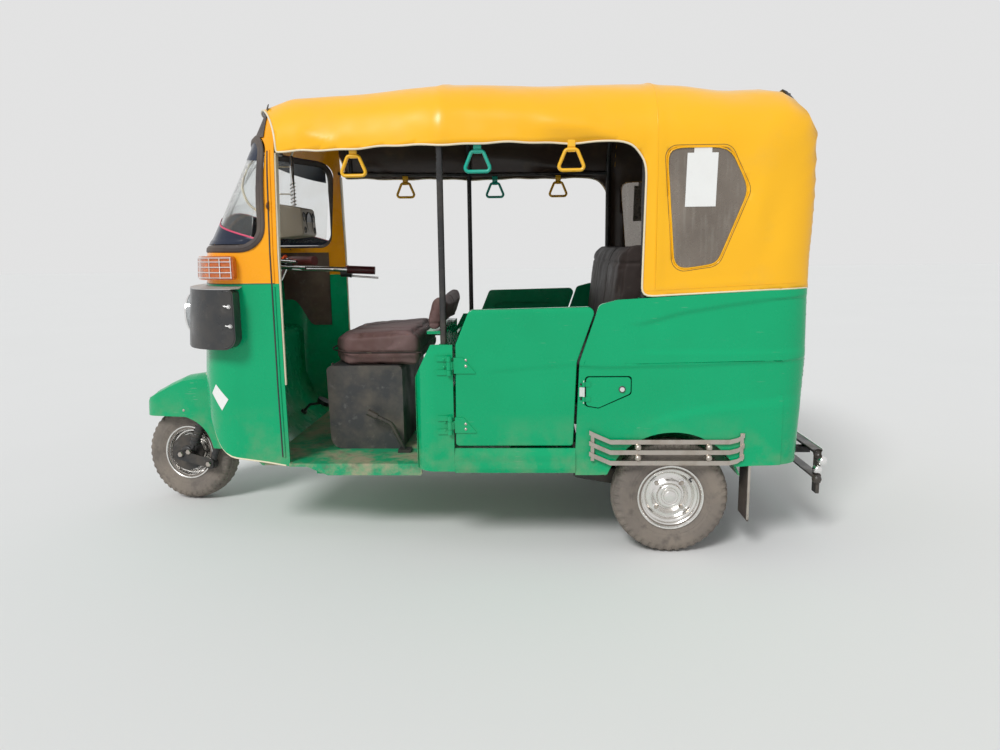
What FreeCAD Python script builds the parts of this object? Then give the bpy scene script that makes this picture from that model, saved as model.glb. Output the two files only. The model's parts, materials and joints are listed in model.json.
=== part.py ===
# Auto rickshaw: a three-wheeled passenger vehicle with a steel cab, a tub with two doors and a fabric hood.
# Millimetres. While a piece is made, X is measured forward from the front axle, Y to the vehicle's left
# and Z up from the ground. At the end every piece is carried so that X = 0 is the middle of the whole vehicle.
import FreeCAD, Part

import math
import os
from types import SimpleNamespace

# Driving sizes: name, value, what it is
SIZES = (
    ("wheelbase", 2000, "front axle to rear axle"),
    ("rear_track", 1150, "between the middles of the rear tyres"),
    ("tyre_radius", 207, "outside of the tyre, and height of each axle"),
    ("tyre_width", 107, "widest part of the tyre"),
    ("rim_radius", 118, "outside of the rim flange"),
    ("rim_seat_radius", 102, "where the tyre bead sits on the rim"),
    ("rim_width", 86, "between the rim flanges"),
    ("hub_radius", 40, "wheel hub"),
    ("back_plate_radius", 78, "plate behind the front wheel"),
    ("stub_radius", 15, "stub axle that each wheel turns on"),
    ("running_gap", 0.05, "radial clearance of a shaft in its bore"),
    ("seat_gap", 0.3, "gap between pieces that rest on each other"),
    ("moving_gap", 6, "gap round a door or flap"),
    ("steer_rake", 26, "steering axis back from vertical, degrees"),
    ("steer_trail", 60, "steering axis ahead of the front tyre's contact, on the ground"),
    ("steer_rest", 12, "how far the steering is turned to the right as parked, degrees"),
    ("stem_radius", 22, "steering stem"),
    ("stem_low", 470, "height of the stem's lower end"),
    ("handlebar_height", 1000, "height of the handlebar's middle"),
    ("head_low", 640, "lower end of the steering head tube"),
    ("head_high", 900, "upper end of the steering head tube"),
    ("panel_thickness", 6, "cowl skin"),
    ("cowl_rear_x", -600, "rear edge of the cowl"),
    ("cowl_bulge", 830, "plan radius of the cowl's front"),
    ("cowl_corner", 160, "plan radius of the cowl's corners"),
    ("belt_height", 970, "joint between lower and upper cowl"),
    ("header_height", 1560, "top of the windscreen header"),
    ("screen_low", 1100, "lower edge of the windscreen opening"),
    ("screen_high", 1500, "upper edge of the windscreen opening"),
    ("screen_rear_x", -552, "rear edge of the windscreen opening"),
    ("seal_width", 25, "windscreen rubber seen from outside"),
    ("glass_thickness", 5, "windscreen glass"),
    ("lamp_low", 737, "lower edge of the headlamp housing"),
    ("lamp_high", 952, "upper edge of the headlamp housing"),
    ("lamp_rear_x", -452, "rear end of the headlamp housing"),
    ("lamp_proud", 60, "how far the headlamp housing stands off the cowl"),
    ("headlamp_x", -152, "rim of each headlamp's bezel"),
    ("headlamp_y", 212, "each headlamp from the middle"),
    ("headlamp_radius", 74, "headlamp lens"),
    ("floor_top", 300, "top of the cab floor"),
    ("floor_thickness", 12, "floor sheet"),
    ("cab_floor_half", 514, "half the width of the cab floor"),
    ("rear_floor_top", 360, "top of the passenger floor"),
    ("tread_height", 4, "raised tread panel on the passenger floor"),
    ("toe_x", -372, "upright part of the toe board"),
    ("toe_top", 725, "top of the toe board"),
    ("tub_half", 650, "half the width of the passenger tub"),
    ("tub_front_x", -1092, "front face of the passenger tub"),
    ("tub_wall", 14, "tub side wall"),
    ("tub_front_bulge", 60000, "plan radius of the bulkhead, nearly flat"),
    ("tub_corner", 80, "plan radius of the tub's front corners"),
    ("tub_low", 311, "lower edge of the tub at the pillars"),
    ("pillar_top", 761, "top of the hinge pillars"),
    ("pillar_rear_x", -1238, "rear edge of the hinge pillars"),
    ("door_thickness", 28, "whole door"),
    ("door_low", 404, "lower edge of the doors"),
    ("door_rear_low_x", -1653, "door's rear edge at the bottom"),
    ("door_rear_waist_x", -1665, "door's rear edge at the waist"),
    ("door_rear_top_x", -1731, "door's rear edge at the top"),
    ("waist_height", 699, "kink in the door's rear edge"),
    ("door_top", 888, "top of the doors"),
    ("door_gap", 9, "gap behind the door"),
    ("hinge_x", -1226, "door hinge pin from the front axle"),
    ("hinge_stand", 11, "door hinge pin out from the tub's side"),
    ("edge_round", 4, "rounding of the doors' outer edges"),
    ("pin_radius", 4, "hinge pins"),
    ("knuckle_radius", 8, "hinge knuckles"),
    ("quarter_top", 910, "top of the quarter panels at the front"),
    ("quarter_top_rear", 952, "top of the quarter panels at the tail"),
    ("rear_overhang", 460, "rear axle to the rear face of the body"),
    ("quarter_front_gap", 70, "top of the quarter panels behind the door's top"),
    ("press_rise", 4, "how far the pressed shoulder and flare stand out of the quarter panels"),
    ("tail_corner", 110, "plan radius of the tail's corners"),
    ("tail_bulge", 3000, "plan radius of the tail panel"),
    ("tail_wrap", 130, "how far the quarter panels reach round to the tail panel"),
    ("arch_radius", 245, "rear wheel arch"),
    ("hood_inset", 10, "hood's side in from the tub's side"),
    ("hood_edge", 1428, "lower edge of the hood over the doors"),
    ("hood_thickness", 8, "hood skin"),
    ("hood_bulge", 1900, "radius of the roof's crown"),
    ("hood_corner", 200, "radius of the roof's side corners"),
    ("bow_x", -1205, "middle roof bow and side poles"),
    ("rear_bow_lead", 110, "rear roof bow ahead of the rear axle"),
    ("bow_tube", 11, "radius of the roof frame's tubes"),
    ("rail_tube", 8, "radius of the roof's side rails"),
    ("rail_rise", 20, "middle of the roof's side rails above the hood's edge"),
    ("deck_height", 545, "top of the passenger seat base"),
    ("deck_front_x", -1430, "front of the passenger seat base"),
    ("deck_rear_x", -1880, "rear of the passenger seat base"),
    ("rail_inner", 340, "chassis rails' inner faces from the middle"),
    ("rail_outer", 380, "chassis rails' outer faces from the middle"),
    ("rail_low", 300, "underside of the chassis rails"),
    ("arm_length", 310, "pivot tube of the trailing arms ahead of the rear axle"),
    ("arm_inner", 432, "trailing arms' inner faces from the middle"),
    ("arm_outer", 472, "trailing arms' outer faces from the middle"),
    ("engine_half", 185, "half the width of the engine"),
    ("tyre_clearance", 35.5, "rear tyre to the inner wall of its wheel house"),
    ("guard_stand", 6, "side guards out from the tub's side"),
    ("bumper_reach", 100, "rear face of the bumper behind the body"),
    ("bumper_ball", 17, "balls at the bumper's ends"),
    ("visor_depth", 34, "middle of the rear visor out from the hood"),
    ("tow_hole_radius", 10, "towing hole in the bumper's middle upright"),
    ("plate_hole_radius", 3.5, "screw holes for a number plate"),
    ("plate_hole_spacing", 150, "between the number plate's screw holes"),
)

mm = SimpleNamespace(**{name: value for name, value, _ in SIZES})

# Places that follow from the sizes
mm.axle_x = -mm.wheelbase
mm.tail_x = mm.axle_x - mm.rear_overhang
mm.bumper_x = mm.tail_x - mm.bumper_reach
mm.rear_bow_x = mm.axle_x + mm.rear_bow_lead
mm.arm_pivot_x = mm.axle_x + mm.arm_length
mm.hinge_y = mm.tub_half + mm.hinge_stand
mm.hood_half = mm.tub_half - mm.hood_inset
mm.tail_split_half = mm.tub_half - mm.tail_wrap
mm.rail_height = mm.hood_edge + mm.rail_rise
mm.quarter_front_x = mm.door_rear_top_x - mm.quarter_front_gap
mm.well_inner = mm.rear_track / 2 - mm.tyre_width / 2 - mm.tyre_clearance

PLANE_TURNS = {
    "XY": FreeCAD.Rotation(),
    "XZ": FreeCAD.Rotation(FreeCAD.Vector(1, 0, 0), 90),
    "YZ": FreeCAD.Rotation(FreeCAD.Vector(1, 1, 1), 120),
}
PLANE_NORMALS = {
    "XY": FreeCAD.Vector(0, 0, 1),
    "XZ": FreeCAD.Vector(0, 1, 0),
    "YZ": FreeCAD.Vector(1, 0, 0),
}

doc = FreeCAD.newDocument("auto_rickshaw")
kept = []


def vec(x, y, z=0.0):
    return FreeCAD.Vector(x, y, z)


def fill_sheet():
    """The driving sizes, one row each, with an alias that expressions can use."""
    sheet = doc.addObject("Spreadsheet::Sheet", "sizes")
    for row, (name, value, meaning) in enumerate(SIZES, start=1):
        sheet.set(f"A{row}", meaning)
        sheet.set(f"B{row}", str(value))
        sheet.setAlias(f"B{row}", name)
    doc.recompute()


# Outlines and solids


def corner_geometry(corners):
    """Lines and tangent arcs of a closed flat outline. A corner is (a, b) or (a, b, radius)."""
    count = len(corners)
    spots = [vec(c[0], c[1]) for c in corners]
    radii = [c[2] if len(c) > 2 else 0.0 for c in corners]
    trims = []
    for i, spot in enumerate(spots):
        before = (spots[i - 1] - spot).normalize()
        after = (spots[(i + 1) % count] - spot).normalize()
        if radii[i] <= 0:
            trims.append((spot, spot, None))
            continue
        half_turn = before.getAngle(after) / 2
        reach = radii[i] / math.tan(half_turn)
        middle = (before + after).normalize()
        centre = spot + middle * (radii[i] / math.sin(half_turn))
        trims.append((spot + before * reach, spot + after * reach, centre - middle * radii[i]))
    shapes = []
    for i, (start, end, middle) in enumerate(trims):
        if middle is not None:
            shapes.append(Part.Arc(start, middle, end))
        following = trims[(i + 1) % count][0]
        if end.distanceToPoint(following) > 0.001:
            shapes.append(Part.LineSegment(end, following))
    return shapes


def flat_wire(plane, corners, offset=0.0):
    """Closed wire of an outline in one of the main planes."""
    wire = Part.Wire([shape.toShape() for shape in corner_geometry(corners)])
    wire.Placement = FreeCAD.Placement(PLANE_NORMALS[plane] * offset, PLANE_TURNS[plane])
    return wire


def prism(plane, corners, start, end):
    """Solid over a flat outline, from start to end along the plane's normal."""
    face = Part.Face(flat_wire(plane, corners, start))
    return face.extrude(PLANE_NORMALS[plane] * (end - start))


def bow_outline(nose, half, bulge, corner, base):
    """Edges in (along, across): straight sides, a round corner each side and one shallow arc at the nose."""
    way = 1 if nose > base else -1
    centre = way * nose - bulge
    reach = math.sqrt((bulge - corner) ** 2 - (half - corner) ** 2)
    turn = math.atan2(half - corner, reach)
    middle_turn = (turn + math.pi / 2) / 2

    def spot(along, across):
        return vec(way * along, across)

    corner_start = spot(centre + reach, half)
    corner_middle = spot(centre + reach + corner * math.cos(middle_turn),
                         half - corner + corner * math.sin(middle_turn))
    corner_end = spot(centre + bulge * math.cos(turn), bulge * math.sin(turn))
    tip = spot(way * nose, 0)
    base_left = spot(way * base, half)

    def other(point):
        return vec(point.x, -point.y)

    return [
        Part.LineSegment(base_left, corner_start).toShape(),
        Part.Arc(corner_start, corner_middle, corner_end).toShape(),
        Part.Arc(corner_end, tip, other(corner_end)).toShape(),
        Part.Arc(other(corner_end), other(corner_middle), other(corner_start)).toShape(),
        Part.LineSegment(other(corner_start), other(base_left)).toShape(),
        Part.LineSegment(other(base_left), base_left).toShape(),
    ]


def plan_section(height, nose, half, bulge, corner, base):
    """Rounded plan section of the cowl or the tub at one height."""
    wire = Part.Wire(bow_outline(nose, half, bulge, corner, base))
    wire.translate(vec(0, 0, height))
    return wire


def arch_section(x, crown, half, bulge, corner, low):
    """Rounded cross-section of the hood at one X."""
    wire = Part.Wire(bow_outline(crown, half, bulge, corner, low))
    wire.Placement = FreeCAD.Placement(vec(x, 0, 0), FreeCAD.Rotation(vec(0, 1, 0), -90))
    return wire


def between(table, place):
    """Row of a table at a place between its rows, the first column being the place."""
    rows = sorted(table)
    low, high = rows[0], rows[1]
    for first, second in zip(rows, rows[1:]):
        if place >= first[0]:
            low, high = first, second
    share = (place - low[0]) / (high[0] - low[0])
    return [a + (b - a) * share for a, b in zip(low, high)]


def stations(table, start, end):
    """Places to put a section at: both ends and each row of the table between them."""
    return [start] + [row[0] for row in sorted(table) if start < row[0] < end] + [end]


def rounded_path(points, bend):
    """Wire of straight runs joined by tangent arcs of one radius."""
    spots = [vec(*p) for p in points]
    edges = []
    here = spots[0]
    for i in range(1, len(spots) - 1):
        before = (spots[i - 1] - spots[i]).normalize()
        after = (spots[i + 1] - spots[i]).normalize()
        half_turn = before.getAngle(after) / 2
        reach = bend / math.tan(half_turn)
        middle = (before + after).normalize()
        start = spots[i] + before * reach
        end = spots[i] + after * reach
        on_arc = spots[i] + middle * (bend / math.sin(half_turn) - bend)
        edges.append(Part.LineSegment(here, start).toShape())
        edges.append(Part.Arc(start, on_arc, end).toShape())
        here = end
    edges.append(Part.LineSegment(here, spots[-1]).toShape())
    return Part.Wire(edges)


def pipe(points, radius, bend):
    """Round bar along a bent path."""
    path = rounded_path(points, bend)
    start = vec(*points[0])
    heading = (vec(*points[1]) - start).normalize()
    ring = Part.Wire([Part.makeCircle(radius, start, heading)])
    return path.makePipeShell([ring], True, False)


def rod(start, end, radius):
    """Round bar between two points."""
    first, last = vec(*start), vec(*end)
    return Part.makeCylinder(radius, first.distanceToPoint(last), first, last - first)


def tube(start, end, outer, inner):
    return rod(start, end, outer).cut(rod(start, end, inner))


def block(x_range, y_range, z_range):
    """Box between two limits on each axis."""
    limits = [sorted(limit) for limit in (x_range, y_range, z_range)]
    lengths = [high - low for low, high in limits]
    return Part.makeBox(*lengths, vec(*[low for low, _ in limits]))


def mirrored(shape):
    """The same piece on the vehicle's other side."""
    return shape.mirror(vec(0, 0, 0), vec(0, 1, 0))


def mirrored_along(shape, x):
    """The same piece turned end for end about a plane across the vehicle."""
    return shape.mirror(vec(x, 0, 0), vec(1, 0, 0))


def both_sides(shape):
    return Part.makeCompound([shape, mirrored(shape)])


def joined(shapes):
    return shapes[0].multiFuse(shapes[1:]).removeSplitter()


# Document objects


def bound(kind, name, turned=None, **rules):
    """Primitive whose sizes and place are expressions of the driving sizes."""
    thing = doc.addObject("Part::" + kind, name)
    if turned:
        thing.Placement = FreeCAD.Placement(vec(0, 0, 0), FreeCAD.Rotation(vec(*turned), 90))
    for size, rule in rules.items():
        if size in ("x", "y", "z"):
            size = "Placement.Base." + size
        thing.setExpression(size, rule)
    return thing


def keep(label, thing, rides="vehicle"):
    """A finished sub-part: its label names its file, and rides says what carries it."""
    thing.Label = label
    kept.append((label, thing, rides))
    return thing


def feature(label, shape, rides="vehicle"):
    """Sub-part whose shape is worked out from the sizes."""
    thing = doc.addObject("Part::Feature", label)
    thing.Shape = shape
    return keep(label, thing, rides)


def sketch_on(body, name, role, corners):
    """Sketch of an outline on one of the body's own origin planes."""
    sketch = body.newObject("Sketcher::SketchObject", name)
    plane = [item for item in body.Origin.OriginFeatures if item.Role == role][0]
    sketch.AttachmentSupport = [(plane, "")]
    sketch.MapMode = "FlatFace"
    sketch.addGeometry(corner_geometry(corners), False)
    return sketch


def padded_body(name, plane, corners, high_side, length, rounded_face=None):
    """Body padded from an outline. high_side and length are expressions: where it ends, and how long it is.
    rounded_face is the place along the pad's normal of a face whose edges are rounded off."""
    body = doc.addObject("PartDesign::Body", name)
    sketch = sketch_on(body, name + "_outline", plane + "_Plane", corners)
    pad = body.newObject("PartDesign::Pad", name + "_pad")
    pad.Profile = sketch
    pad.setExpression("Length", length)
    if plane == "XZ":
        sketch.setExpression("AttachmentOffset.Base.z", f"-({high_side})")
    else:
        sketch.setExpression("AttachmentOffset.Base.z", f"({high_side}) - ({length})")
    doc.recompute()
    if rounded_face is not None:
        normal = PLANE_NORMALS[plane]
        for number, face in enumerate(pad.Shape.Faces, start=1):
            if abs(face.CenterOfMass.dot(normal) - rounded_face) < 0.1:
                rounding = body.newObject("PartDesign::Fillet", name + "_rounding")
                rounding.Base = (pad, [f"Face{number}"])
                rounding.setExpression("Radius", "sizes.edge_round")
                body.Tip = rounding
        doc.recompute()
    return body


def revolved_body(name, corners):
    """Body turned about the Y axis from an outline in (Y, radius)."""
    body = doc.addObject("PartDesign::Body", name)
    sketch = sketch_on(body, name + "_outline", "YZ_Plane", corners)
    turn = body.newObject("PartDesign::Revolution", name + "_turn")
    turn.Profile = sketch
    turn.ReferenceAxis = (sketch, ["H_Axis"])
    turn.Angle = 360
    doc.recompute()
    return body


def carried(name, *sources):
    """Holder of pieces whose own places are bound to the sizes, so that the holder can be moved."""
    thing = doc.addObject("Part::Compound", name)
    thing.Links = list(sources)
    doc.recompute()
    return thing


def moved(name, source, x, y, z):
    """A body carried to its place, so that its own sketch stays on its axis."""
    source.Placement.Base = vec(x, y, z)
    return carried(name, source)


# Steering axis: a straight line in the middle plane


def axis_spot(height, y=0.0):
    """Point on the steering axis at a height."""
    return vec(mm.steer_trail - math.tan(math.radians(mm.steer_rake)) * height, y, height)


AXIS_WAY = vec(-math.sin(math.radians(mm.steer_rake)), 0, math.cos(math.radians(mm.steer_rake)))


def axis_rod(low, high, radius):
    """Round bar along the steering axis between two heights."""
    first, last = axis_spot(low), axis_spot(high)
    return Part.makeCylinder(radius, first.distanceToPoint(last), first, AXIS_WAY)


# Cab


# Cowl plan by height: height, foremost X, half width
COWL_SECTIONS = (
    (280, -160, 500),
    (600, -160, 508),
    (1080, -200, 505),
    (1560, -450, 470),
)


def cowl_form(inset, low, high):
    """Solid inside the cowl's skin between two heights, inset from the outside. It runs on behind the cowl."""
    wires = []
    for height in stations(COWL_SECTIONS, low, high):
        _, nose, half = between(COWL_SECTIONS, height)
        wires.append(plan_section(height, nose - inset, half - inset, mm.cowl_bulge - inset,
                                  mm.cowl_corner - inset, mm.cowl_rear_x - 250))
    return Part.makeLoft(wires, True, True)


def cowl_skin(outset, thickness, low, high):
    """Open-backed skin that follows the cowl."""
    inside = cowl_form(thickness - outset, low - 10, high + 10)
    skin = cowl_form(-outset, low, high).cut(inside)
    return skin.common(block((mm.cowl_rear_x, 200), (-800, 800), (low - 20, high + 20)))


def screen_outline(inset):
    """Side view of the windscreen opening. The front runs on past the glass."""
    rear = mm.screen_rear_x + inset
    corner = 60 - inset
    return [
        (100, mm.screen_low + inset),
        (100, mm.screen_high - inset),
        (rear - 20, mm.screen_high - inset, corner),
        (rear + 20, mm.screen_low + inset, corner),
    ]


def build_cowl():
    low = 285
    front_edge = [
        (mm.cowl_rear_x, low),
        (mm.cowl_rear_x, mm.belt_height),
        (100, mm.belt_height),
        (100, 604),
        (-222, 604, 10),
        (-250, 520, 120),
        (-345, 325, 110),
        (-520, 300, 300),
    ]
    lower = cowl_skin(0, mm.panel_thickness, low, mm.belt_height)
    feature("cowl_lower", lower.common(prism("XZ", front_edge, -700, 700)))

    upper = cowl_skin(0, mm.panel_thickness, mm.belt_height, mm.header_height)
    opening = prism("XZ", screen_outline(0), -700, 700)
    feature("cowl_upper", upper.cut(opening))


def build_windscreen():
    wide_seal = cowl_skin(4, mm.panel_thickness + 6, mm.screen_low, mm.screen_high)
    inside = prism("XZ", screen_outline(mm.seal_width), -700, 700)
    ring = prism("XZ", screen_outline(mm.seat_gap), -700, 700).cut(inside)
    feature("windscreen_seal", wide_seal.common(ring))
    glass = cowl_skin(0, mm.glass_thickness, mm.screen_low, mm.screen_high)
    pane = prism("XZ", screen_outline(mm.seal_width + mm.seat_gap), -700, 700)
    feature("windscreen", glass.common(pane))


def build_lamps():
    proud = mm.lamp_proud
    band = cowl_skin(proud, proud - mm.seat_gap, mm.lamp_low, mm.lamp_high)
    side_view = [
        (mm.lamp_rear_x, mm.lamp_low, 45),
        (100, mm.lamp_low),
        (100, mm.lamp_high),
        (mm.lamp_rear_x, mm.lamp_high, 20),
    ]
    band = band.common(prism("XZ", side_view, -800, 800))
    lamp_height = (mm.lamp_low + mm.lamp_high) / 2
    bezel = mm.headlamp_radius + 8
    lamps = []
    for y in (-mm.headlamp_y, mm.headlamp_y):
        band = band.cut(rod((-280, y, lamp_height), (100, y, lamp_height), bezel + mm.seat_gap))
        face_x = mm.headlamp_x
        shell = rod((face_x - 60, y, lamp_height), (face_x, y, lamp_height), bezel)
        shell = shell.cut(cowl_form(-mm.seat_gap, mm.lamp_low - 20, mm.lamp_high + 20))
        dome = Part.makeSphere(190, vec(face_x + 12 - 190, y, lamp_height))
        lens = rod((face_x - 1, y, lamp_height), (face_x + 30, y, lamp_height), mm.headlamp_radius)
        lamps.append(shell.fuse(lens.common(dome)))
    feature("lamp_housing", band)
    feature("headlamps", Part.makeCompound(lamps))

    wrap = cowl_skin(30, 30 - mm.seat_gap, 985, 1071)
    side_view = [(-448, 985, 12), (-250, 985, 12), (-232, 1071, 12), (-448, 1071, 12)]
    wrap = wrap.common(prism("XZ", side_view, 200, 700))
    feature("indicators", both_sides(wrap))


def build_floor():
    sheet_low = mm.floor_top - mm.floor_thickness
    riser_front = mm.tub_front_x - mm.tub_wall - 3
    in_cowl = 493
    pieces = [
        block((riser_front, mm.cowl_rear_x - mm.seat_gap), (-mm.cab_floor_half, mm.cab_floor_half),
              (sheet_low, mm.floor_top)),
        block((mm.cowl_rear_x - 5, -500), (-in_cowl, in_cowl), (sheet_low, mm.floor_top)),
    ]
    for side in (-1, 1):
        outer = side * mm.cab_floor_half
        skirt = [(-1100, 255, 8), (-745, 255, 20), (-640, mm.floor_top - 1), (-1100, mm.floor_top - 1)]
        low, high = sorted((outer, outer - side * 14))
        pieces.append(prism("XZ", skirt, low, high))
    for x in (-720, -900, -1060):
        pieces.append(block((x - 20, x + 20), (-mm.cab_floor_half + 13, mm.cab_floor_half - 13),
                            (258, mm.floor_top - 5)))
    clear = mm.tub_wall + mm.seat_gap
    inside_tub = plan_section(330, mm.tub_front_x - clear, mm.tub_half - clear, mm.tub_front_bulge,
                              mm.tub_corner - mm.tub_wall, -1720)
    rear_end = mm.door_rear_low_x - mm.door_gap + 1
    inside_tub = Part.Face(inside_tub).extrude(vec(0, 0, 100))
    rear = block((rear_end, -1050), (-mm.tub_half - 50, mm.tub_half + 50),
                 (mm.rear_floor_top - mm.floor_thickness, mm.rear_floor_top))
    pieces.append(rear.common(inside_tub))
    tread_low, tread_high = mm.rear_floor_top - 2, mm.rear_floor_top + mm.tread_height
    tread_half = mm.tub_half - 90
    pieces.append(block((mm.deck_front_x + 25, -1190), (-tread_half, tread_half), (tread_low, tread_high)))
    pieces.append(block((riser_front - 20, riser_front), (-mm.cab_floor_half, mm.cab_floor_half),
                        (sheet_low, mm.rear_floor_top)))
    feature("floor_pan", joined(pieces))


def build_toe_board():
    t = 5
    side_view = [
        (-499, mm.floor_top - mm.floor_thickness),
        (-499, mm.floor_top),
        (mm.toe_x - 45, mm.floor_top + 70, 90),
        (mm.toe_x, mm.floor_top + 190, 60),
        (mm.toe_x, mm.toe_top, 40),
        (100, mm.toe_top + 30),
        (100, mm.toe_top + 30 - t),
        (mm.toe_x + t, mm.toe_top - t, 35),
        (mm.toe_x + t, mm.floor_top + 190 - t, 60),
        (mm.toe_x - 45 + t, mm.floor_top + 62, 90),
        (-492, mm.floor_top - mm.floor_thickness),
    ]
    sheet = prism("XZ", side_view, -600, 600)
    inside = cowl_form(mm.panel_thickness + mm.seat_gap, 280, 900)
    sheet = sheet.common(inside)
    outer = mm.stem_radius + 7
    head = axis_rod(mm.head_low, mm.head_high, outer)
    gusset = prism("XZ", [(mm.toe_x + 2, 560), (mm.toe_x + 2, 720), (-250, 720), (-250, 665)], -4, 4)
    bore = axis_rod(mm.head_low - 40, mm.head_high + 40, mm.stem_radius + mm.running_gap)
    feature("toe_board", joined([sheet, gusset, head]).cut(bore))


def build_dash():
    side_view = [(100, 1082), (-322, 1062, 10), (-330, 985, 10), (100, 985)]
    inside = cowl_form(mm.panel_thickness + mm.seat_gap, 985, 1090)
    dash = prism("XZ", side_view, -600, 600).common(inside)
    hollow = prism("XZ", [(100, 1076), (-316, 1056, 6), (-323, 980), (100, 980)], -480, 480)
    feature("dash_panel", dash.cut(hollow))


# Steering and front wheel


def build_steering():
    stem = axis_rod(mm.stem_low, mm.handlebar_height, mm.stem_radius)
    top = axis_spot(mm.stem_low)
    leg_y = 79
    leg = pipe([(top.x, 0, top.z + 4), (-196, 10, 445), (-200, leg_y, 350), (-135, leg_y, 165)], 14, 22)
    eye = rod((-135, leg_y - 12, 170), (-135, leg_y + 14, 170), 24)
    lug_side = [(-206, 340, 8), (-206, 385, 8), (-128, 448, 12), (-118, 425, 12)]
    lug = prism("XZ", lug_side, leg_y - 6, leg_y + 6)
    feature("steering_stem", joined([stem, leg, eye, lug]), "steering")

    bar_z = mm.handlebar_height + 8
    middle = axis_spot(bar_z)
    clamp = axis_rod(bar_z - 34, bar_z + 28, mm.stem_radius + 10)
    clamp = clamp.cut(axis_rod(bar_z - 60, mm.handlebar_height + mm.seat_gap, mm.stem_radius + mm.seat_gap))
    bar = pipe([(-740, 292, bar_z + 8), (-560, 236, bar_z + 14), (-455, 150, bar_z + 12),
                (middle.x, 0, bar_z + 10)], 11, 60)
    bars = [clamp, bar, mirrored(bar)]
    for side in (-1, 1):
        lever = [(-556, side * 236, bar_z + 14), (-590, side * 300, bar_z + 10), (-700, side * 345, bar_z)]
        bars.append(pipe(lever, 5, 20))
    feature("handlebar", joined(bars), "steering")
    grips = []
    for side in (-1, 1):
        first = vec(-740, side * 292, bar_z + 8)
        way = (vec(-560, side * 236, bar_z + 14) - first).normalize()
        grip = Part.makeCylinder(18, 125, first - way * 8, way)
        grips.append(grip.cut(Part.makeCylinder(11 + mm.seat_gap, 130, first, way)))
    feature("handlebar_grips", Part.makeCompound(grips), "steering")


def build_mudguard():
    """Domed guard over the front wheel: rounded in side view and in plan, open below."""
    half, t = 104, 4

    def form(inset):
        below = 30 * (inset > 0)
        side_view = [
            (194 - inset, 372 - below),
            (188 - inset, 563 - inset, 150 - inset),
            (-245 + inset, 563 - inset, 130 - inset),
            (-240 + inset, 240 - below),
            (-165, 240 - below),
            (-50, 372 - below, 70),
        ]
        plan = [
            (196 - inset, -half + inset, 85 - inset),
            (196 - inset, half - inset, 85 - inset),
            (-246 + inset, half - inset, 30 - inset),
            (-246 + inset, -half + inset, 30 - inset),
        ]
        return prism("XZ", side_view, -half, half).common(prism("XY", plan, 100, 700))

    wheel_gap = rod((0, -200, mm.tyre_radius), (0, 200, mm.tyre_radius), mm.tyre_radius - 42)
    stem_hole = axis_rod(mm.stem_low - 60, 700, mm.stem_radius + mm.seat_gap)
    guard = form(0).cut(form(t)).cut(wheel_gap).cut(stem_hole)
    feature("front_mudguard", guard, "steering")


def build_front_suspension():
    axle_z = mm.tyre_radius
    link = prism("XZ", [(-155, 148, 14), (26, 186, 20), (26, 228, 20), (-155, 190, 14)], 94, 101)
    stub = rod((0, 102, axle_z), (0, -40, axle_z), mm.stub_radius)
    plate = rod((0, 50, axle_z), (0, 56, axle_z), mm.back_plate_radius)
    pin = rod((-135, 93 + mm.seat_gap, 170), (-135, 96, 170), 10)
    damper = rod((-36, 79, 218), (-119, 79, 415), 7)
    spring = rod((-50, 79, 251), (-111, 79, 396), 19)
    foot = rod((-36, 70, 218), (-36, 96, 218), 10)
    feature("front_suspension", joined([link, stub, plate, pin, damper, spring, foot]), "steering")


def tyre_outline():
    """Half of the tyre's section is drawn and repeated: Y, radius, rounding."""
    wide = mm.tyre_width / 2
    bead = mm.rim_width / 2 - mm.seat_gap
    seat = mm.rim_seat_radius + mm.seat_gap
    half = [
        (bead, seat),
        (bead, mm.rim_radius + 3),
        (wide, mm.rim_radius + 22),
        (wide, mm.tyre_radius - 28, 22),
        (wide - 17, mm.tyre_radius),
    ]
    return half + [(-y, *rest) for y, *rest in reversed(half)]


def rim_outline(side):
    """Rim, dished disc and hub as one section: Y, radius, rounding. The disc lies towards the side given."""
    bore = mm.stub_radius + mm.running_gap
    wide = mm.rim_width / 2
    seat = mm.rim_seat_radius
    flange = mm.rim_radius
    rows = [
        (-30, bore),
        (36, bore),
        (36, mm.hub_radius - 6),
        (30, mm.hub_radius),
        (20, mm.hub_radius + 6),
        (12, seat - 18),
        (26, seat - 5),
        (wide + 5, seat - 5),
        (wide + 5, flange),
        (wide, flange),
        (wide, seat),
        (-wide, seat),
        (-wide, flange),
        (-wide - 5, flange),
        (-wide - 5, seat - 5),
        (16, seat - 5),
        (5, seat - 14),
        (13, mm.hub_radius + 2),
        (-30, mm.hub_radius - 8),
    ]
    return [(side * row[0],) + row[1:] for row in rows]


# Wheels: name, X, Y, side that the disc faces, what carries it
def wheel_table():
    half_track = mm.rear_track / 2
    return (
        ("front", 0, 0, -1, "steering"),
        ("rear_left", mm.axle_x, half_track, 1, "vehicle"),
        ("rear_right", mm.axle_x, -half_track, -1, "vehicle"),
    )


def build_wheels():
    for name, x, y, side, rides in wheel_table():
        rim = revolved_body(name + "_rim_body", rim_outline(side))
        keep(name + "_rim", moved(name + "_rim", rim, x, y, mm.tyre_radius), rides)
        tyre = revolved_body(name + "_tyre_body", tyre_outline())
        keep(name + "_tyre", moved(name + "_tyre", tyre, x, y, mm.tyre_radius), rides)


# Passenger tub


def tub_front_form(inset, low, high):
    nose, half, corner = mm.tub_front_x - inset, mm.tub_half - inset, mm.tub_corner - inset
    rear = mm.pillar_rear_x - (30 if inset else 0)
    wires = [plan_section(height, nose, half, mm.tub_front_bulge, corner, rear) for height in (low, high)]
    return Part.makeLoft(wires, True, True)


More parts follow.
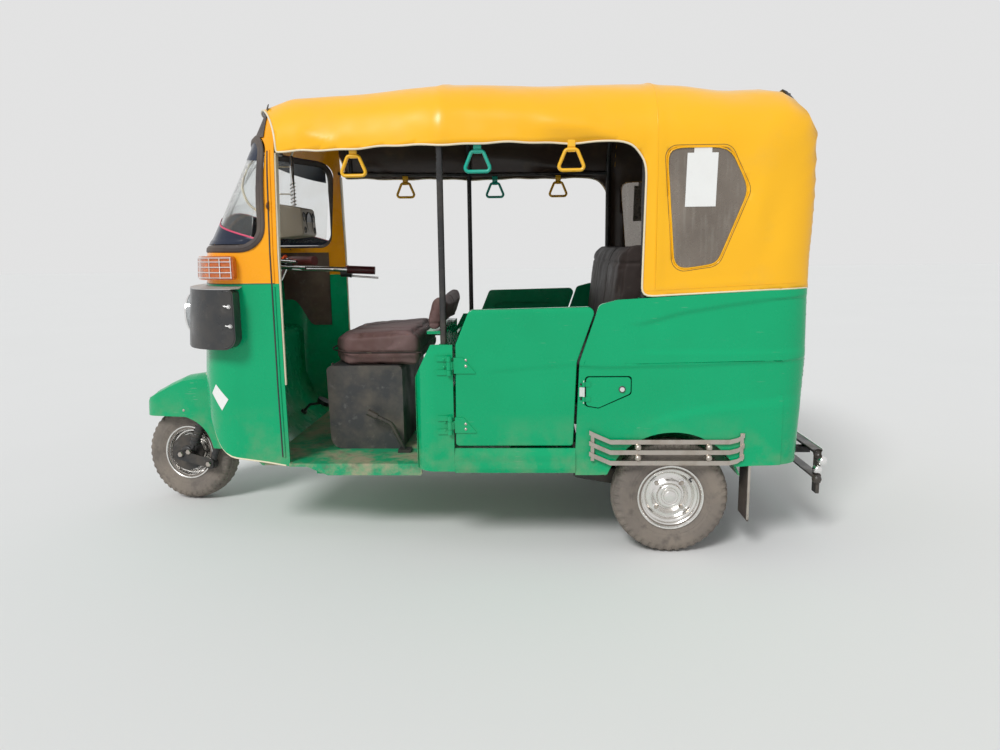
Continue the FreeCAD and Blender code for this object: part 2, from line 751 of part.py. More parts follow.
def build_bulkhead():
    inside = tub_front_form(mm.tub_wall, mm.tub_low - 10, mm.pillar_top + 10)
    walls = tub_front_form(0, mm.tub_low, mm.pillar_top).cut(inside)
    over = mm.pillar_top + 1
    bevel = [(mm.tub_front_x + 10, 610), (mm.tub_front_x - 70, over), (mm.tub_front_x + 10, over)]
    walls = walls.cut(prism("XZ", bevel, -mm.tub_half - 50, mm.tub_half + 50))
    slot_half = mm.cab_floor_half + 1
    floor_slot = block((mm.tub_front_x - 40, mm.tub_front_x + 10), (-slot_half, slot_half),
                       (200, mm.floor_top + mm.seat_gap))
    inner_half = mm.tub_half - mm.tub_wall
    partition = block((-1164, -1152), (-inner_half - 1, inner_half + 1),
                      (mm.rear_floor_top + mm.seat_gap, 700))
    shelf = block((-1158, -1100), (-280, 280), (758, 770 - mm.seat_gap))
    web = block((-1164, -1152), (-280, 280), (690, 770 - mm.seat_gap))
    pieces = [walls.cut(floor_slot), partition, shelf, web]
    pole = mm.hood_half - mm.hood_thickness - mm.bow_tube - 4
    for side in (-1, 1):
        foot = vec(mm.bow_x, side * pole, mm.pillar_top - 35)
        pieces.append(Part.makeCylinder(16, 35, foot))
        pieces.append(block((mm.bow_x - 12, mm.bow_x + 12), (side * pole, side * (inner_half + 2)),
                            (mm.pillar_top - 35, mm.pillar_top - 4)))
    feature("bulkhead", joined(pieces))


def door_rear_edge(gap):
    """Rear edge of the door, or of what stands a gap behind it: X, height, rounding."""
    return [
        (mm.door_rear_low_x - gap, mm.door_low - gap, 12 if gap == 0 else 0),
        (mm.door_rear_waist_x - gap, mm.waist_height, 40),
        (mm.door_rear_top_x - gap, mm.door_top + (0 if gap == 0 else 6), 22),
    ]


def door_outline():
    front = mm.pillar_rear_x - mm.moving_gap
    return [
        (front, mm.door_low, 12),
        (front - 5, mm.pillar_top, 8),
        (front - 54, mm.door_top - 8, 20),
    ] + list(reversed(door_rear_edge(0)))


HINGE_HEIGHTS = (480, 690)
# Leaf on the door with its sloping end: X and height from the pin's middle
DOOR_LEAF = (
    (-6, -14),
    (-6, 14),
    (-16, 14),
    (-16, 27),
    (-46, 27),
    (-90, -24),
    (-90, -28),
    (-16, -28),
    (-16, -14),
)


def build_doors():
    for side, name in ((1, "door_left"), (-1, "door_right")):
        high = "sizes.tub_half" if side > 0 else "sizes.door_thickness - sizes.tub_half"
        slab = padded_body(name + "_slab", "XZ", door_outline(), high, "sizes.door_thickness",
                           side * mm.tub_half)
        recess = [
            (mm.pillar_rear_x - 60, mm.door_low + 40, 25),
            (mm.pillar_rear_x - 60, mm.waist_height - 20, 25),
            (mm.pillar_rear_x - 90, mm.door_top - 70, 25),
            (mm.door_rear_top_x + 110, mm.door_top - 70, 25),
            (mm.door_rear_waist_x + 60, mm.waist_height - 20, 25),
            (mm.door_rear_low_x + 50, mm.door_low + 40, 25),
        ]
        leaves = []
        outer = side * mm.tub_half
        for height in HINGE_HEIGHTS:
            spot = (mm.hinge_x, side * mm.hinge_y)
            knuckle = tube((*spot, height - 14), (*spot, height + 14), mm.knuckle_radius,
                           mm.pin_radius + mm.running_gap)
            outline = [(mm.hinge_x + along, height + up) for along, up in DOOR_LEAF]
            leaf = prism("XZ", outline, *sorted((outer, outer + side * 4)))
            web = block((mm.hinge_x - 12, mm.hinge_x - 5), (outer, spot[1]), (height - 14, height + 14))
            leaves.append(joined([leaf, knuckle, web]))
        inside, depth = side * (mm.tub_half - mm.door_thickness - 1), side * (mm.tub_half - 8)
        inner = prism("XZ", recess, *sorted((inside, depth)))
        shape = joined([slab.Shape.cut(inner)] + leaves)
        feature(name, shape, name)


def build_door_hinges():
    """Pins and pillar leaves, welded to the hinge pillars."""
    pieces = []
    for height in HINGE_HEIGHTS:
        spot = (mm.hinge_x, mm.hinge_y)
        pin = rod((*spot, height - 34), (*spot, height + 34), mm.pin_radius)
        for low, high in ((height - 33, height - 15), (height + 15, height + 33)):
            knuckle = rod((*spot, low), (*spot, high), mm.knuckle_radius)
            seat = mm.tub_half + mm.seat_gap
            leaf = block((mm.hinge_x + 2, mm.hinge_x + 44), (seat, seat + 4), (low, high))
            web = block((mm.hinge_x - 2, mm.hinge_x + 7), (seat, mm.hinge_y), (low, high))
            pin = pin.fuse([knuckle, leaf, web])
        pieces.append(pin)
    feature("door_hinges", Part.makeCompound(pieces + [mirrored(piece) for piece in pieces]))


# Tub plan towards the tail by height: height, half width, rearmost X
TUB_SECTIONS = (
    (290, mm.tub_half - 4, mm.tail_x + 14),
    (700, mm.tub_half, mm.tail_x - 2),
    (990, mm.tub_half - 10, mm.tail_x),
)
# Forms pressed out of the quarter panels, at the skin and at their crest: X and height
SHOULDER_FOOT = ((-1683, 685), (-1702, 743), (-2318, 743), (-2342, 697))
SHOULDER_CREST = ((-1688, 690), (-1702, 722), (-2314, 724), (-2332, 702))
FLARE_FOOT = (
    (-1868, 280),
    (-1884, 468),
    (-1970, 523),
    (-2078, 549),
    (-2185, 564),
    (-2342, 582),
    (-2342, 280),
)
FLARE_CREST = (
    (-1890, 280),
    (-1908, 446),
    (-1984, 488),
    (-2079, 512),
    (-2187, 526),
    (-2322, 538),
    (-2322, 280),
)


def tub_form(inset, low, high, extra_front=0.0):
    wires = []
    for height in stations(TUB_SECTIONS, low, high):
        _, half, tail = between(TUB_SECTIONS, height)
        wires.append(plan_section(height, tail + inset, half - inset, mm.tail_bulge - inset,
                                  mm.tail_corner - inset, mm.door_rear_low_x + extra_front))
    return Part.makeLoft(wires, True, True)


def swelling(foot, crest):
    """Form pressed out of the left side, sloping from its foot inside the skin to its crest."""
    low = flat_wire("XZ", foot, mm.tub_half - 8)
    high = flat_wire("XZ", crest, mm.tub_half + mm.press_rise)
    return Part.makeLoft([low, high], True, True)


def rear_side_view():
    """Side view of the quarter panels before the wheel arch is cut."""
    return door_rear_edge(mm.door_gap) + [
        (mm.quarter_front_x, mm.quarter_top, 25),
        (mm.tail_x - 140, mm.quarter_top_rear),
        (mm.tail_x - 140, 346),
        (mm.axle_x - 262, 332, 20),
        (mm.door_rear_low_x - 87, 297),
        (mm.door_rear_low_x - mm.door_gap, 297),
    ]


def build_rear_body():
    skin = tub_form(0, 290, 980).cut(tub_form(mm.tub_wall, 280, 990, extra_front=50))
    across, behind, inside = mm.tub_half + 150, mm.tail_x - 140, mm.tail_x + 160
    outline = prism("XZ", rear_side_view(), -across, across)
    arch = rod((mm.axle_x, -across, mm.tyre_radius), (mm.axle_x, across, mm.tyre_radius), mm.arch_radius)
    skin = skin.common(outline).cut(arch)
    split = mm.tail_split_half

    left = skin.common(block((behind, mm.door_rear_low_x), (split, across), (200, 1100)))
    for foot, crest in ((SHOULDER_FOOT, SHOULDER_CREST), (FLARE_FOOT, FLARE_CREST)):
        left = left.fuse(swelling(foot, crest).common(outline).cut(arch))
    foot_top = mm.quarter_top + 4
    left = left.fuse(block((mm.rear_bow_x - 16, mm.rear_bow_x + 16), (mm.hood_half - 40, mm.tub_half - 16),
                           (foot_top - 25, foot_top)))
    flap_hole = prism("XZ", flap_outline(mm.moving_gap - 2), mm.tub_half - 50, mm.tub_half + 50)
    feature("quarter_left", left.cut(flap_hole))
    feature("quarter_right", mirrored(left))

    tail = skin.common(block((behind, inside), (-split + mm.seat_gap, split - mm.seat_gap), (200, 1100)))
    hatch = block((behind, mm.tail_x + 60), (-326, 326), (384, 726))
    plate_face = mm.tail_x - 10
    tail = tail.cut(hatch).fuse(block((plate_face, mm.tail_x + 6), (-150, 150), (780, 860)))
    for y in (-mm.plate_hole_spacing / 2, mm.plate_hole_spacing / 2):
        tail = tail.cut(rod((plate_face - 5, y, 820), (mm.tail_x + 40, y, 820), mm.plate_hole_radius))
    feature("tail_panel", tail)


def build_sills():
    """Sill under each door, with a sloping ledge along its top."""
    high = mm.door_low - mm.moving_gap - 4
    low = mm.tub_low - 6
    length = "sizes.pillar_rear_x - sizes.door_rear_low_x + sizes.door_gap - 2 * sizes.seat_gap"
    bodies = []
    for side, name in ((1, "left"), (-1, "right")):
        outer, inner = side * mm.tub_half, side * (mm.tub_half - mm.tub_wall)
        ledge = side * (mm.tub_half - 6)
        section = [
            (inner, low),
            (outer - side * 3, low),
            (outer, low + 16),
            (outer, high - 26),
            (ledge, high),
            (inner, high),
        ]
        front = "sizes.pillar_rear_x - sizes.seat_gap"
        bodies.append(padded_body(f"{name}_sill", "YZ", section, front, length))
    keep("sills", carried("sills", *bodies))


def flap_outline(grow):
    """Fuel flap with its sloping lower edge: X, height, rounding."""
    front = mm.door_rear_low_x - 44
    return [
        (front + grow, 646 + grow, 12),
        (front + grow, 548 - grow, 12),
        (front - 43, 540 - grow, 12),
        (front - 152 - grow, 590 - grow, 14),
        (front - 152 - grow, 646 + grow, 12),
    ]


def flap_pin():
    """X and Y of the fuel flap's hinge pin."""
    return mm.door_rear_low_x - 35, mm.tub_half + 5


def build_flap():
    outer = mm.tub_half
    skin = prism("XZ", flap_outline(0), outer - 6, outer)
    spot = flap_pin()
    behind = spot[0] - 24
    pieces = [skin]
    for height in (570, 622):
        pieces.append(tube((*spot, height - 8), (*spot, height + 8), 4.5, 2 + mm.running_gap))
        pieces.append(block((behind, behind + 22), (outer + 0.5, outer + 2.5), (height - 8, height + 8)))
        pieces.append(block((behind, behind + 10), (outer - 1, outer + 2.5), (height - 8, height + 8)))
    feature("fuel_flap", joined(pieces), "fuel_flap")


def build_flap_hinge():
    outer = mm.tub_half
    spot = flap_pin()
    pin = rod((*spot, 556), (*spot, 636), 2)
    post = rod((*spot, 580), (*spot, 612), 4.5)
    foot = block((spot[0], spot[0] + 14), (outer - 0.7, outer + 4), (580, 612))
    feature("flap_hinge", joined([pin, post, foot]))


def build_engine_door():
    """Louvred lid over the engine, hung from its top edge."""
    behind, inside = mm.tail_x - 140, mm.tail_x + 60
    pin_x, pin_z = mm.tail_x - 14, 722
    knuckle = 2 * mm.pin_radius
    face = tub_form(0, 380, 730).cut(tub_form(5, 370, 740, extra_front=50))
    lid = face.common(block((behind, inside), (-320, 320), (390, 712)))
    for row in range(6):
        height = 430 + row * 42
        for side in (-1, 1):
            lid = lid.cut(block((behind, inside), (side * 20, side * 240), (height, height + 12)))
    pieces = [lid]
    for y in (-200, 200):
        pieces.append(tube((pin_x, y - 20, pin_z), (pin_x, y + 20, pin_z), knuckle,
                           mm.pin_radius + mm.running_gap))
        pieces.append(block((pin_x - 2, pin_x + 21), (y - 20, y + 20), (700, 712)))
        pieces.append(block((pin_x - 7, pin_x + 5), (y - 20, y + 20), (700, 716)))
    feature("engine_door", joined(pieces), "engine_door")
    hangers = []
    panel = tub_form(-mm.seat_gap, 690, 780)
    for y in (-200, 200):
        hanger = rod((pin_x, y - 32, pin_z), (pin_x, y + 32, pin_z), mm.pin_radius)
        for first, last in ((y - 34, y - 21), (y + 21, y + 34)):
            arm = block((pin_x - 6, pin_x + 34), (first, last), (pin_z + 6, pin_z + 23)).cut(panel)
            hanger = hanger.fuse([rod((pin_x, first, pin_z), (pin_x, last, pin_z), knuckle), arm])
        hangers.append(hanger)
    feature("engine_door_hinges", Part.makeCompound(hangers))


def build_inner_tub():
    t = 6
    front, rear, high = mm.deck_front_x, mm.deck_rear_x, mm.deck_height
    foot = mm.rear_floor_top + mm.seat_gap
    side_view = [
        (front, foot),
        (front, high, 15),
        (rear, high, 15),
        (rear - 90, high + 390),
        (rear - 90 - t, high + 390),
        (rear - t, high - t, 15),
        (front - t, high - t, 15),
        (front - t, foot),
    ]
    half = "(sizes.tub_half - sizes.door_thickness - sizes.moving_gap)"
    keep("seat_deck", carried("seat_deck", padded_body("deck_sheet", "XZ", side_view, half, "2 * " + half)))

    axle = (mm.axle_x, mm.tyre_radius)
    radius = mm.arch_radius + 6
    well = mm.well_inner
    outer = rod((axle[0], well, axle[1]), (axle[0], mm.tub_half - mm.tub_wall - 5, axle[1]), radius)
    inner = rod((axle[0], well + t, axle[1]), (axle[0], mm.tub_half + 50, axle[1]), radius - t)
    below = block((axle[0] - 400, axle[0] + 400), (well - 80, mm.tub_half + 50), (-100, mm.tyre_radius + 85))
    house = outer.cut(inner).cut(below)
    feature("wheel_houses", both_sides(house))


# Hood


# Cross-section by X: X, half width, crown height
HOOD_SECTIONS = (
    (mm.tail_x - 20, mm.hood_half, 1662),
    (mm.rear_bow_x, mm.hood_half + 1, 1694),
    (mm.bow_x, mm.hood_half, 1704),
    (-640, 508, 1668),
    (-400, 465, 1592),
)


def hood_form(inset, low):
    """Solid inside the hood's skin."""
    wires = []
    for x in [row[0] for row in HOOD_SECTIONS]:
        _, half, crown = between(HOOD_SECTIONS, x)
        wires.append(arch_section(x, crown - inset, half - inset, mm.hood_bulge - inset,
                                  mm.hood_corner - inset, low))
    form = Part.makeLoft(wires, True, True)
    nose = plan_section(low, -412 - inset, mm.cowl_bulge * 0.83, mm.cowl_bulge, mm.cowl_corner, -720)
    rear = plan_section(low, mm.tail_x + inset, mm.hood_half + 5 - inset, mm.tail_bulge,
                        mm.tail_corner - inset, -300)
    across = mm.hood_half + 160
    tall = vec(0, 0, 1000)
    front = block((-700, -300), (-across, across), (low, low + 1000)).cut(Part.Face(nose).extrude(tall))
    form = form.cut(front).common(Part.Face(rear).extrude(tall))
    slope = [(mm.tail_x + 91 + inset, 1710)] + rear_slope(inset) + [(mm.tail_x - 140, 1468 - inset),
                                                                    (mm.tail_x - 140, 1710)]
    return form.cut(prism("XZ", slope, -across, across))


def rear_slope(inset):
    """Upper and lower end of the slope that joins the roof to the back: X, height."""
    return [(mm.tail_x + 91 + inset, 1668 - inset), (mm.tail_x - 10 + inset, 1468 - inset)]


def build_hood():
    skin = hood_form(0, 880).cut(hood_form(mm.hood_thickness, 870))
    skin = skin.cut(cowl_form(-5, 1000, mm.header_height + mm.seat_gap))
    across, behind = mm.hood_half + 160, mm.tail_x - 140
    rear_top = mm.quarter_top_rear + mm.seat_gap
    side_view = [
        (-300, 1568),
        (-300, 1800),
        (behind - 100, 1800),
        (behind - 100, rear_top + 5),
        (behind, rear_top),
        (mm.quarter_front_x, mm.quarter_top + mm.seat_gap + 1),
        (mm.rear_bow_x + 2, mm.hood_edge, 150),
        (-585, mm.hood_edge, 20),
        (-440, 1568),
    ]
    skin = skin.common(prism("XZ", side_view, -across, across))
    skin = skin.cut(prism("XZ", window_outline(0), -across, across))
    skin = skin.cut(prism("YZ", rear_window_outline(0), behind, mm.tail_x + 60))
    feature("hood", skin)

    edge = mm.seat_gap
    pane = prism("XZ", window_outline(-edge), mm.hood_half - 5, mm.hood_half - 2)
    rear_pane = prism("YZ", rear_window_outline(-edge), mm.tail_x + 6, mm.tail_x + 9)
    feature("hood_windows", Part.makeCompound([pane, mirrored(pane), rear_pane]))


def window_outline(grow):
    """Five-cornered side window: X, height, rounding."""
    front = mm.rear_bow_x - 79
    return [
        (front + grow, 1394 + grow, 30),
        (front - 192 - grow, 1394 + grow, 30),
        (front - 242 - grow, 1273, 40),
        (front - 133 - grow, 1034 - grow, 30),
        (front - 26 + grow, 1024 - grow, 30),
    ]


def rear_window_outline(grow):
    return [
        (-300 - grow, 1090 - grow, 40),
        (300 + grow, 1090 - grow, 40),
        (300 + grow, 1330 + grow, 40),
        (-300 - grow, 1330 + grow, 40),
    ]


def bow_bar(x, foot, inset):
    """Tube bent to the hood's cross-section, a little inside its skin, with both feet at one height."""
    _, half, crown = between(HOOD_SECTIONS, x)
    edges = bow_outline(crown - inset, half - inset, mm.hood_bulge - inset, mm.hood_corner - inset, foot)[:-1]
    path = Part.Wire(edges)
    path.Placement = FreeCAD.Placement(vec(x, 0, 0), FreeCAD.Rotation(vec(0, 1, 0), -90))
    ring = Part.Wire([Part.makeCircle(mm.bow_tube, vec(x, half - inset, foot), vec(0, 0, 1))])
    return path.makePipeShell([ring], True, False)


def build_roof_frame():
    inset = mm.hood_thickness + mm.bow_tube + 4
    front_x = mm.cowl_rear_x - 45
    # Bows: X, height of the feet
    bows = (
        (mm.bow_x, mm.pillar_top + mm.seat_gap),
        (mm.rear_bow_x, mm.quarter_top + 4 + mm.seat_gap),
        (front_x, mm.rail_height - 14),
    )
    pieces = [bow_bar(x, foot, inset) for x, foot in bows]
    for side in (-1, 1):
        rail = side * rail_y(mm.bow_x)
        joint = (front_x, side * rail_y(front_x), mm.rail_height)
        in_cowl = (mm.cowl_rear_x + 8, side * (rail_y(front_x) - 33), mm.rail_height)
        pieces.append(rod(joint, in_cowl, mm.rail_tube))
        pieces.append(rod(joint, (mm.bow_x, rail, mm.rail_height), mm.rail_tube))
        start, end = (mm.bow_x, rail, mm.rail_height), (mm.rear_bow_x, rail, mm.rail_height)
        pieces.append(rod(start, end, mm.rail_tube))
    feature("roof_frame", joined(pieces))


# Rear visor from side to side: Y, where its ends lie along the slope (0 top, 1 foot), how far it bulges
VISOR_SECTIONS = (
    (-430, 0.30, 0.68, 6),
    (-250, 0.12, 0.88, 28),
    (0, 0.04, 0.94, mm.visor_depth),
    (250, 0.12, 0.88, 28),
    (430, 0.30, 0.68, 6),
)


def build_rear_visor():
    """Dark lens over the hood's rear slope: full in the middle and flat at its ends."""
    top, foot = [vec(x, 0, z) for x, z in rear_slope(0)]
    way = foot - top
    out = vec(way.z, 0, -way.x).normalize()
    wires = []
    for y, first, last, depth in VISOR_SECTIONS:
        upper = top + way * first + vec(0, y, 0)
        lower = top + way * last + vec(0, y, 0)
        middle = (upper + lower) * 0.5 + out * depth
        inside = out * -8
        wires.append(Part.Wire([
            Part.Arc(upper, middle, lower).toShape(),
            Part.LineSegment(lower, lower + inside).toShape(),
            Part.LineSegment(lower + inside, upper + inside).toShape(),
            Part.LineSegment(upper + inside, upper).toShape(),
        ]))
    lens = Part.makeLoft(wires, True, False)
    feature("rear_visor", lens.cut(hood_form(-mm.seat_gap, 870)))


# Driver's cushion seen from above, with its front corners cut off: X, Y, rounding
SEAT_PLAN = (
    (-690, 170, 60),
    (-765, 305, 50),
    (-1085, 305, 30),
    (-1085, -305, 30),
    (-765, -305, 50),
    (-690, -170, 60),
)


def build_seats():
    foot = mm.floor_top + mm.seat_gap
    outline = [(-706, foot, 50), (-1000, foot, 10), (-1000, 636, 20), (-699, 636, 20)]
    base = padded_body("seat_base_body", "XZ", outline, "300", "600")
    keep("driver_seat_base", base)

    side_view = [(-690, 636.5, 30), (-1085, 636.5, 20), (-1085, 772, 40), (-690, 745, 40)]
    cushion = prism("XZ", side_view, -305, 305)
    cushion = cushion.common(prism("XY", SEAT_PLAN, 600, 800))
    back = prism("XZ", [(-1098, 770, 20), (-1145, 770, 15), (-1190, 905, 20), (-1140, 915, 25)], -300, 300)
    feature("driver_seat", Part.makeCompound([cushion, back]))

    front, rear, deck = mm.deck_front_x + 20, mm.deck_rear_x, mm.deck_height
    half = mm.tub_half - 50
    seat_side = [
        (front, deck + 0.5, 25),
        (rear + 2, deck + 0.5, 10),
        (rear - 14, deck + 125, 20),
        (front, deck + 120, 45),
    ]
    seat = prism("XZ", seat_side, -half, half)
    back_side = [
        (rear - 16, deck + 126, 15),
        (rear - 61, deck + 385, 10),
        (rear - 62, deck + 565, 25),
        (rear + 38, deck + 565, 35),
        (rear + 88, deck + 126, 25),
    ]
    back = prism("XZ", back_side, -half, half)
    behind_side = [
        (rear + 0.5, deck),
        (rear - 89.5, deck + 391),
        (rear - 400, deck + 391),
        (rear - 400, deck),
    ]
    behind = prism("XZ", behind_side, -half - 100, half + 100)
    feature("passenger_seat", Part.makeCompound([seat, back.cut(behind)]))


def build_controls():
    lever = pipe([(-1010, 340, mm.floor_top + 4), (-960, 345, 412), (-877, 350, 457)], 9, 30)
    foot = block((-1035, -985), (315, 365), (mm.floor_top + mm.seat_gap, mm.floor_top + 12))
    grip = rod((-905, 348.5, 441.8), (-868, 350.5, 461.8), 13)
    feature("starter_lever", joined([lever, foot, grip]))
    foot = rod((-446.5, -180, 345.2), (-454.1, -180, 354.1), 14)
    arm = pipe([(-449, -180, 348.2), (-478, -180, 382), (-545, -180, 391)], 6, 15)
    pad = rod((-542, -180, 387), (-551, -180, 403), 32)
    feature("brake_pedal", joined([foot, arm, pad]))


def rail_y(x):
    """Side rail's distance from the middle at one X."""
    front_x = mm.cowl_rear_x - 45
    inset = mm.hood_thickness + mm.bow_tube + 4
    _, wide, _ = between(HOOD_SECTIONS, mm.bow_x)
    _, narrow, _ = between(HOOD_SECTIONS, front_x)
    share = min(1, max(0, (front_x - x) / (front_x - mm.bow_x)))
    return narrow + (wide - narrow) * share - inset


def build_grips():
    """Loops with a broad foot, each on a strap from the side rail."""
    pieces = []
    for x in (-899, -1333, -1645):
        y = rail_y(x)
        spread = [(0, 34), (24, 24), (56, -34), (0, -42), (-56, -34), (-24, 24), (0, 34)]
        points = [(x + along, y, 1386 + up) for along, up in spread]
        loop = pipe([(x, y, 1418)] + points[1:3], 7, 8)
        loop = loop.fuse([mirrored_along(loop, x), rod((x - 50, y, 1352), (x + 50, y, 1352), 7)])
        strap_top = mm.rail_height - mm.rail_tube - mm.seat_gap
        strap = block((x - 15, x + 15), (y - 5, y + 5), (1402, strap_top))
        pieces.append(loop.fuse(strap).removeSplitter())
    feature("hand_grips", Part.makeCompound(pieces + [mirrored(piece) for piece in pieces]))


# Running gear, guards and bumper


def build_chassis():
    """Rails under the floor and deck, with pivot tube, spring towers, engine brackets and outriggers."""
    top = mm.rear_floor_top - mm.floor_thickness - mm.seat_gap
    inner, outer = mm.rail_inner, mm.rail_outer
    axle, z, well = mm.axle_x, mm.tyre_radius, mm.well_inner
    pieces = [block((mm.tail_x + 56, -1180), (inner, outer), (mm.rail_low, top))]
    for x in (axle - 300, axle - 110):
        pieces.append(block((x, x + 40), (mm.engine_half + mm.seat_gap, inner + 2), (305, 335)))
    for x in (axle - 224, axle + 194):
        pieces.append(block((x, x + 30), (outer - 2, well - mm.seat_gap), (312, top)))
    tower = [(axle - 62, mm.rail_low), (axle - 62, z + 299), (axle + 8, z + 299), (axle + 8, mm.rail_low)]
    pieces.append(prism("XZ", tower, outer - 2, outer + 4))
    pieces.append(block((axle - 62, axle + 8), (outer, well - mm.seat_gap), (z + 293 + mm.seat_gap, z + 299)))
    hanger = [
        (mm.arm_pivot_x - 30, top - 4),
        (mm.arm_pivot_x - 18, 262),
        (mm.arm_pivot_x + 18, 262),
        (mm.arm_pivot_x + 30, top - 4),
    ]
    pieces.append(prism("XZ", hanger, inner, outer))
    side = pieces[0].multiFuse(pieces[1:])
    reach = mm.arm_inner - mm.seat_gap
    pivot = rod((mm.arm_pivot_x, -reach, 262), (mm.arm_pivot_x, reach, 262), 18)
    cross = block((mm.tail_x + 60, mm.tail_x + 100), (-inner - 2, inner + 2), (305, 340))
    feature("chassis_frame", joined([side, mirrored(side), pivot, cross]))


def build_rear_axle():
    """Trailing arm, stub axle, drive shaft and spring unit on each side."""
    x, z = mm.axle_x, mm.tyre_radius
    inner, outer = mm.arm_inner, mm.arm_outer
    front = mm.arm_pivot_x
    arm_side = [(front + 26, 286, 20), (front + 26, 236, 20), (x - 44, z - 34, 30), (x - 44, z + 34, 30)]
    arm = prism("XZ", arm_side, inner, outer)
    stub = rod((x, outer - 10, z), (x, mm.rear_track / 2 + 36, z), mm.stub_radius)
    shaft = rod((x, mm.engine_half + mm.seat_gap, z), (x, inner + 10, z), 14)
    middle = (inner + outer) / 2
    damper = rod((x + 20, middle, z + 10), (x - 30, middle, z + 291), 12)
    spring = rod((x + 10.4, middle, z + 93), (x - 27, middle, z + 273), 32)
    side = arm.multiFuse([stub, shaft, damper, spring])
    feature("rear_axle", both_sides(side))


def build_engine():
    """Crankcase with a finned barrel, a fan housing at the back and the differential on the axle line."""
    wide = "2 * sizes.engine_half"
    along_x, along_y = (0, 1, 0), (-1, 0, 0)
    parts = [
        bound("Box", "crankcase", Length="280", Width=wide, Height="190", x="-sizes.wheelbase - 300",
              y="-sizes.engine_half", z="sizes.tyre_radius + 8"),
        bound("Cylinder", "differential", along_y, Radius="58", Height=wide, x="-sizes.wheelbase",
              y="-sizes.engine_half", z="sizes.tyre_radius"),
        bound("Cylinder", "fan_housing", along_x, Radius="105", Height="45", x="-sizes.wheelbase - 340",
              y="0", z="sizes.tyre_radius + 110"),
        bound("Cylinder", "barrel", None, Radius="48", Height="110", x="-sizes.wheelbase - 150",
              y="0", z="sizes.tyre_radius + 190"),
    ]
    for number in range(4):
        height = 212 + 20 * number
        parts.append(bound("Cylinder", f"fin_{number}", None, Radius="66", Height="6",
                           x="-sizes.wheelbase - 150", y="0", z=f"sizes.tyre_radius + {height}"))
    whole = doc.addObject("Part::MultiFuse", "engine")
    whole.Shapes = parts
    keep("engine_block", carried("engine_block", whole))


def guard_bar(height):
    """Side view of one flat bar with both ends swept up, given its middle's height."""
    rear, front = mm.axle_x - 240, mm.axle_x + 292
    line = ((front, 42), (front - 24, 30), (front - 74, 8), (rear + 50, 8), (rear + 22, 15), (rear, 32))
    top = [(x, height + up, 12 if 0 < i < 5 else 0) for i, (x, up) in enumerate(line)]
    under = [(x, height + up - 16, 12 if 0 < i < 5 else 0) for i, (x, up) in enumerate(line)]
    return top + under[::-1]


def build_guards():
    """Three flat bars outside each rear wheel, with balls between them and a bracket at each end."""
    side = mm.tub_half
    near, far = side + mm.guard_stand, side + mm.guard_stand + 5
    bars = [prism("XZ", guard_bar(height), near, far) for height in (345, 383, 420)]
    for x in (mm.axle_x + 123, mm.axle_x - 120):
        for height in (364, 401.5):
            bars.append(Part.makeSphere(13, vec(x, (near + far) / 2, height)))
    for x, foot in ((mm.axle_x + 280, side - 1.8), (mm.axle_x - 232, side + mm.press_rise + mm.seat_gap)):
        bars.append(block((x - 6, x + 6), (foot, near + 0.5), (352, 450)))
    feature("side_guards", both_sides(joined(bars)))
    bodies = []
    front, rear = mm.axle_x - 266, mm.axle_x - 272
    outline = [(rear, 124, 2), (front, 124, 2), (front, 352), (rear, 352)]
    for name, high in (("left", "sizes.rear_track / 2 + 57"), ("right", "55 - sizes.rear_track / 2")):
        bodies.append(padded_body(f"{name}_flap", "XZ", outline, high, "112"))
    keep("mud_flaps", carried("mud_flaps", *bodies))


def build_bumper():
    """Two angle bars on uprights, with a ball at each end and a towing hole in the middle upright."""
    half = mm.tub_half - 130
    rear, seat = mm.bumper_x, mm.tail_x
    pieces = []
    for height in (245, 340):
        bar = block((rear, rear + 36), (-half, half), (height - 16, height + 16))
        pieces.append(bar.cut(block((rear + 5, rear + 40), (-half, half), (height - 16, height + 11))))
        for side in (-1, 1):
            middle = vec(rear + mm.bumper_ball - 2, side * half, height)
            pieces.append(Part.makeSphere(mm.bumper_ball, middle))
    for y in (-half + 20, 0, half - 20):
        pieces.append(block((rear + 4, rear + 16), (y - 20, y + 20), (190, 345)))
    for side in (-1, 1):
        near, far = side * (mm.rail_outer + mm.seat_gap), side * (mm.rail_outer + 34)
        pieces.append(block((rear + 4, seat + 70), (near, far), (316, 338)))
    tow_hole = rod((rear - 5, 0, 210), (rear + 60, 0, 210), mm.tow_hole_radius)
    feature("rear_bumper", joined(pieces).cut(tow_hole))
    lamps = []
    behind, inside = mm.tail_x - 140, mm.tail_x + 60
    for y in (-mm.tail_split_half + 90, mm.tail_split_half - 90):
        lamp = tub_form(-24, 470, 620).cut(tub_form(-mm.seat_gap, 460, 630))
        lamps.append(lamp.common(block((behind, inside), (y - 60, y + 60), (480, 610))))
    feature("tail_lamps", Part.makeCompound(lamps))


# Placing, checking and writing


def lowest_of_wheel(placement):
    """Lowest point of the front tyre once the steering is turned, as an ideal round tyre."""
    tyre = [thing for label, thing, _ in kept if label == "front_tyre"][0]
    shape = tyre.Shape.copy()
    shape.Placement = placement.multiply(shape.Placement)
    return shape.optimalBoundingBox().ZMin


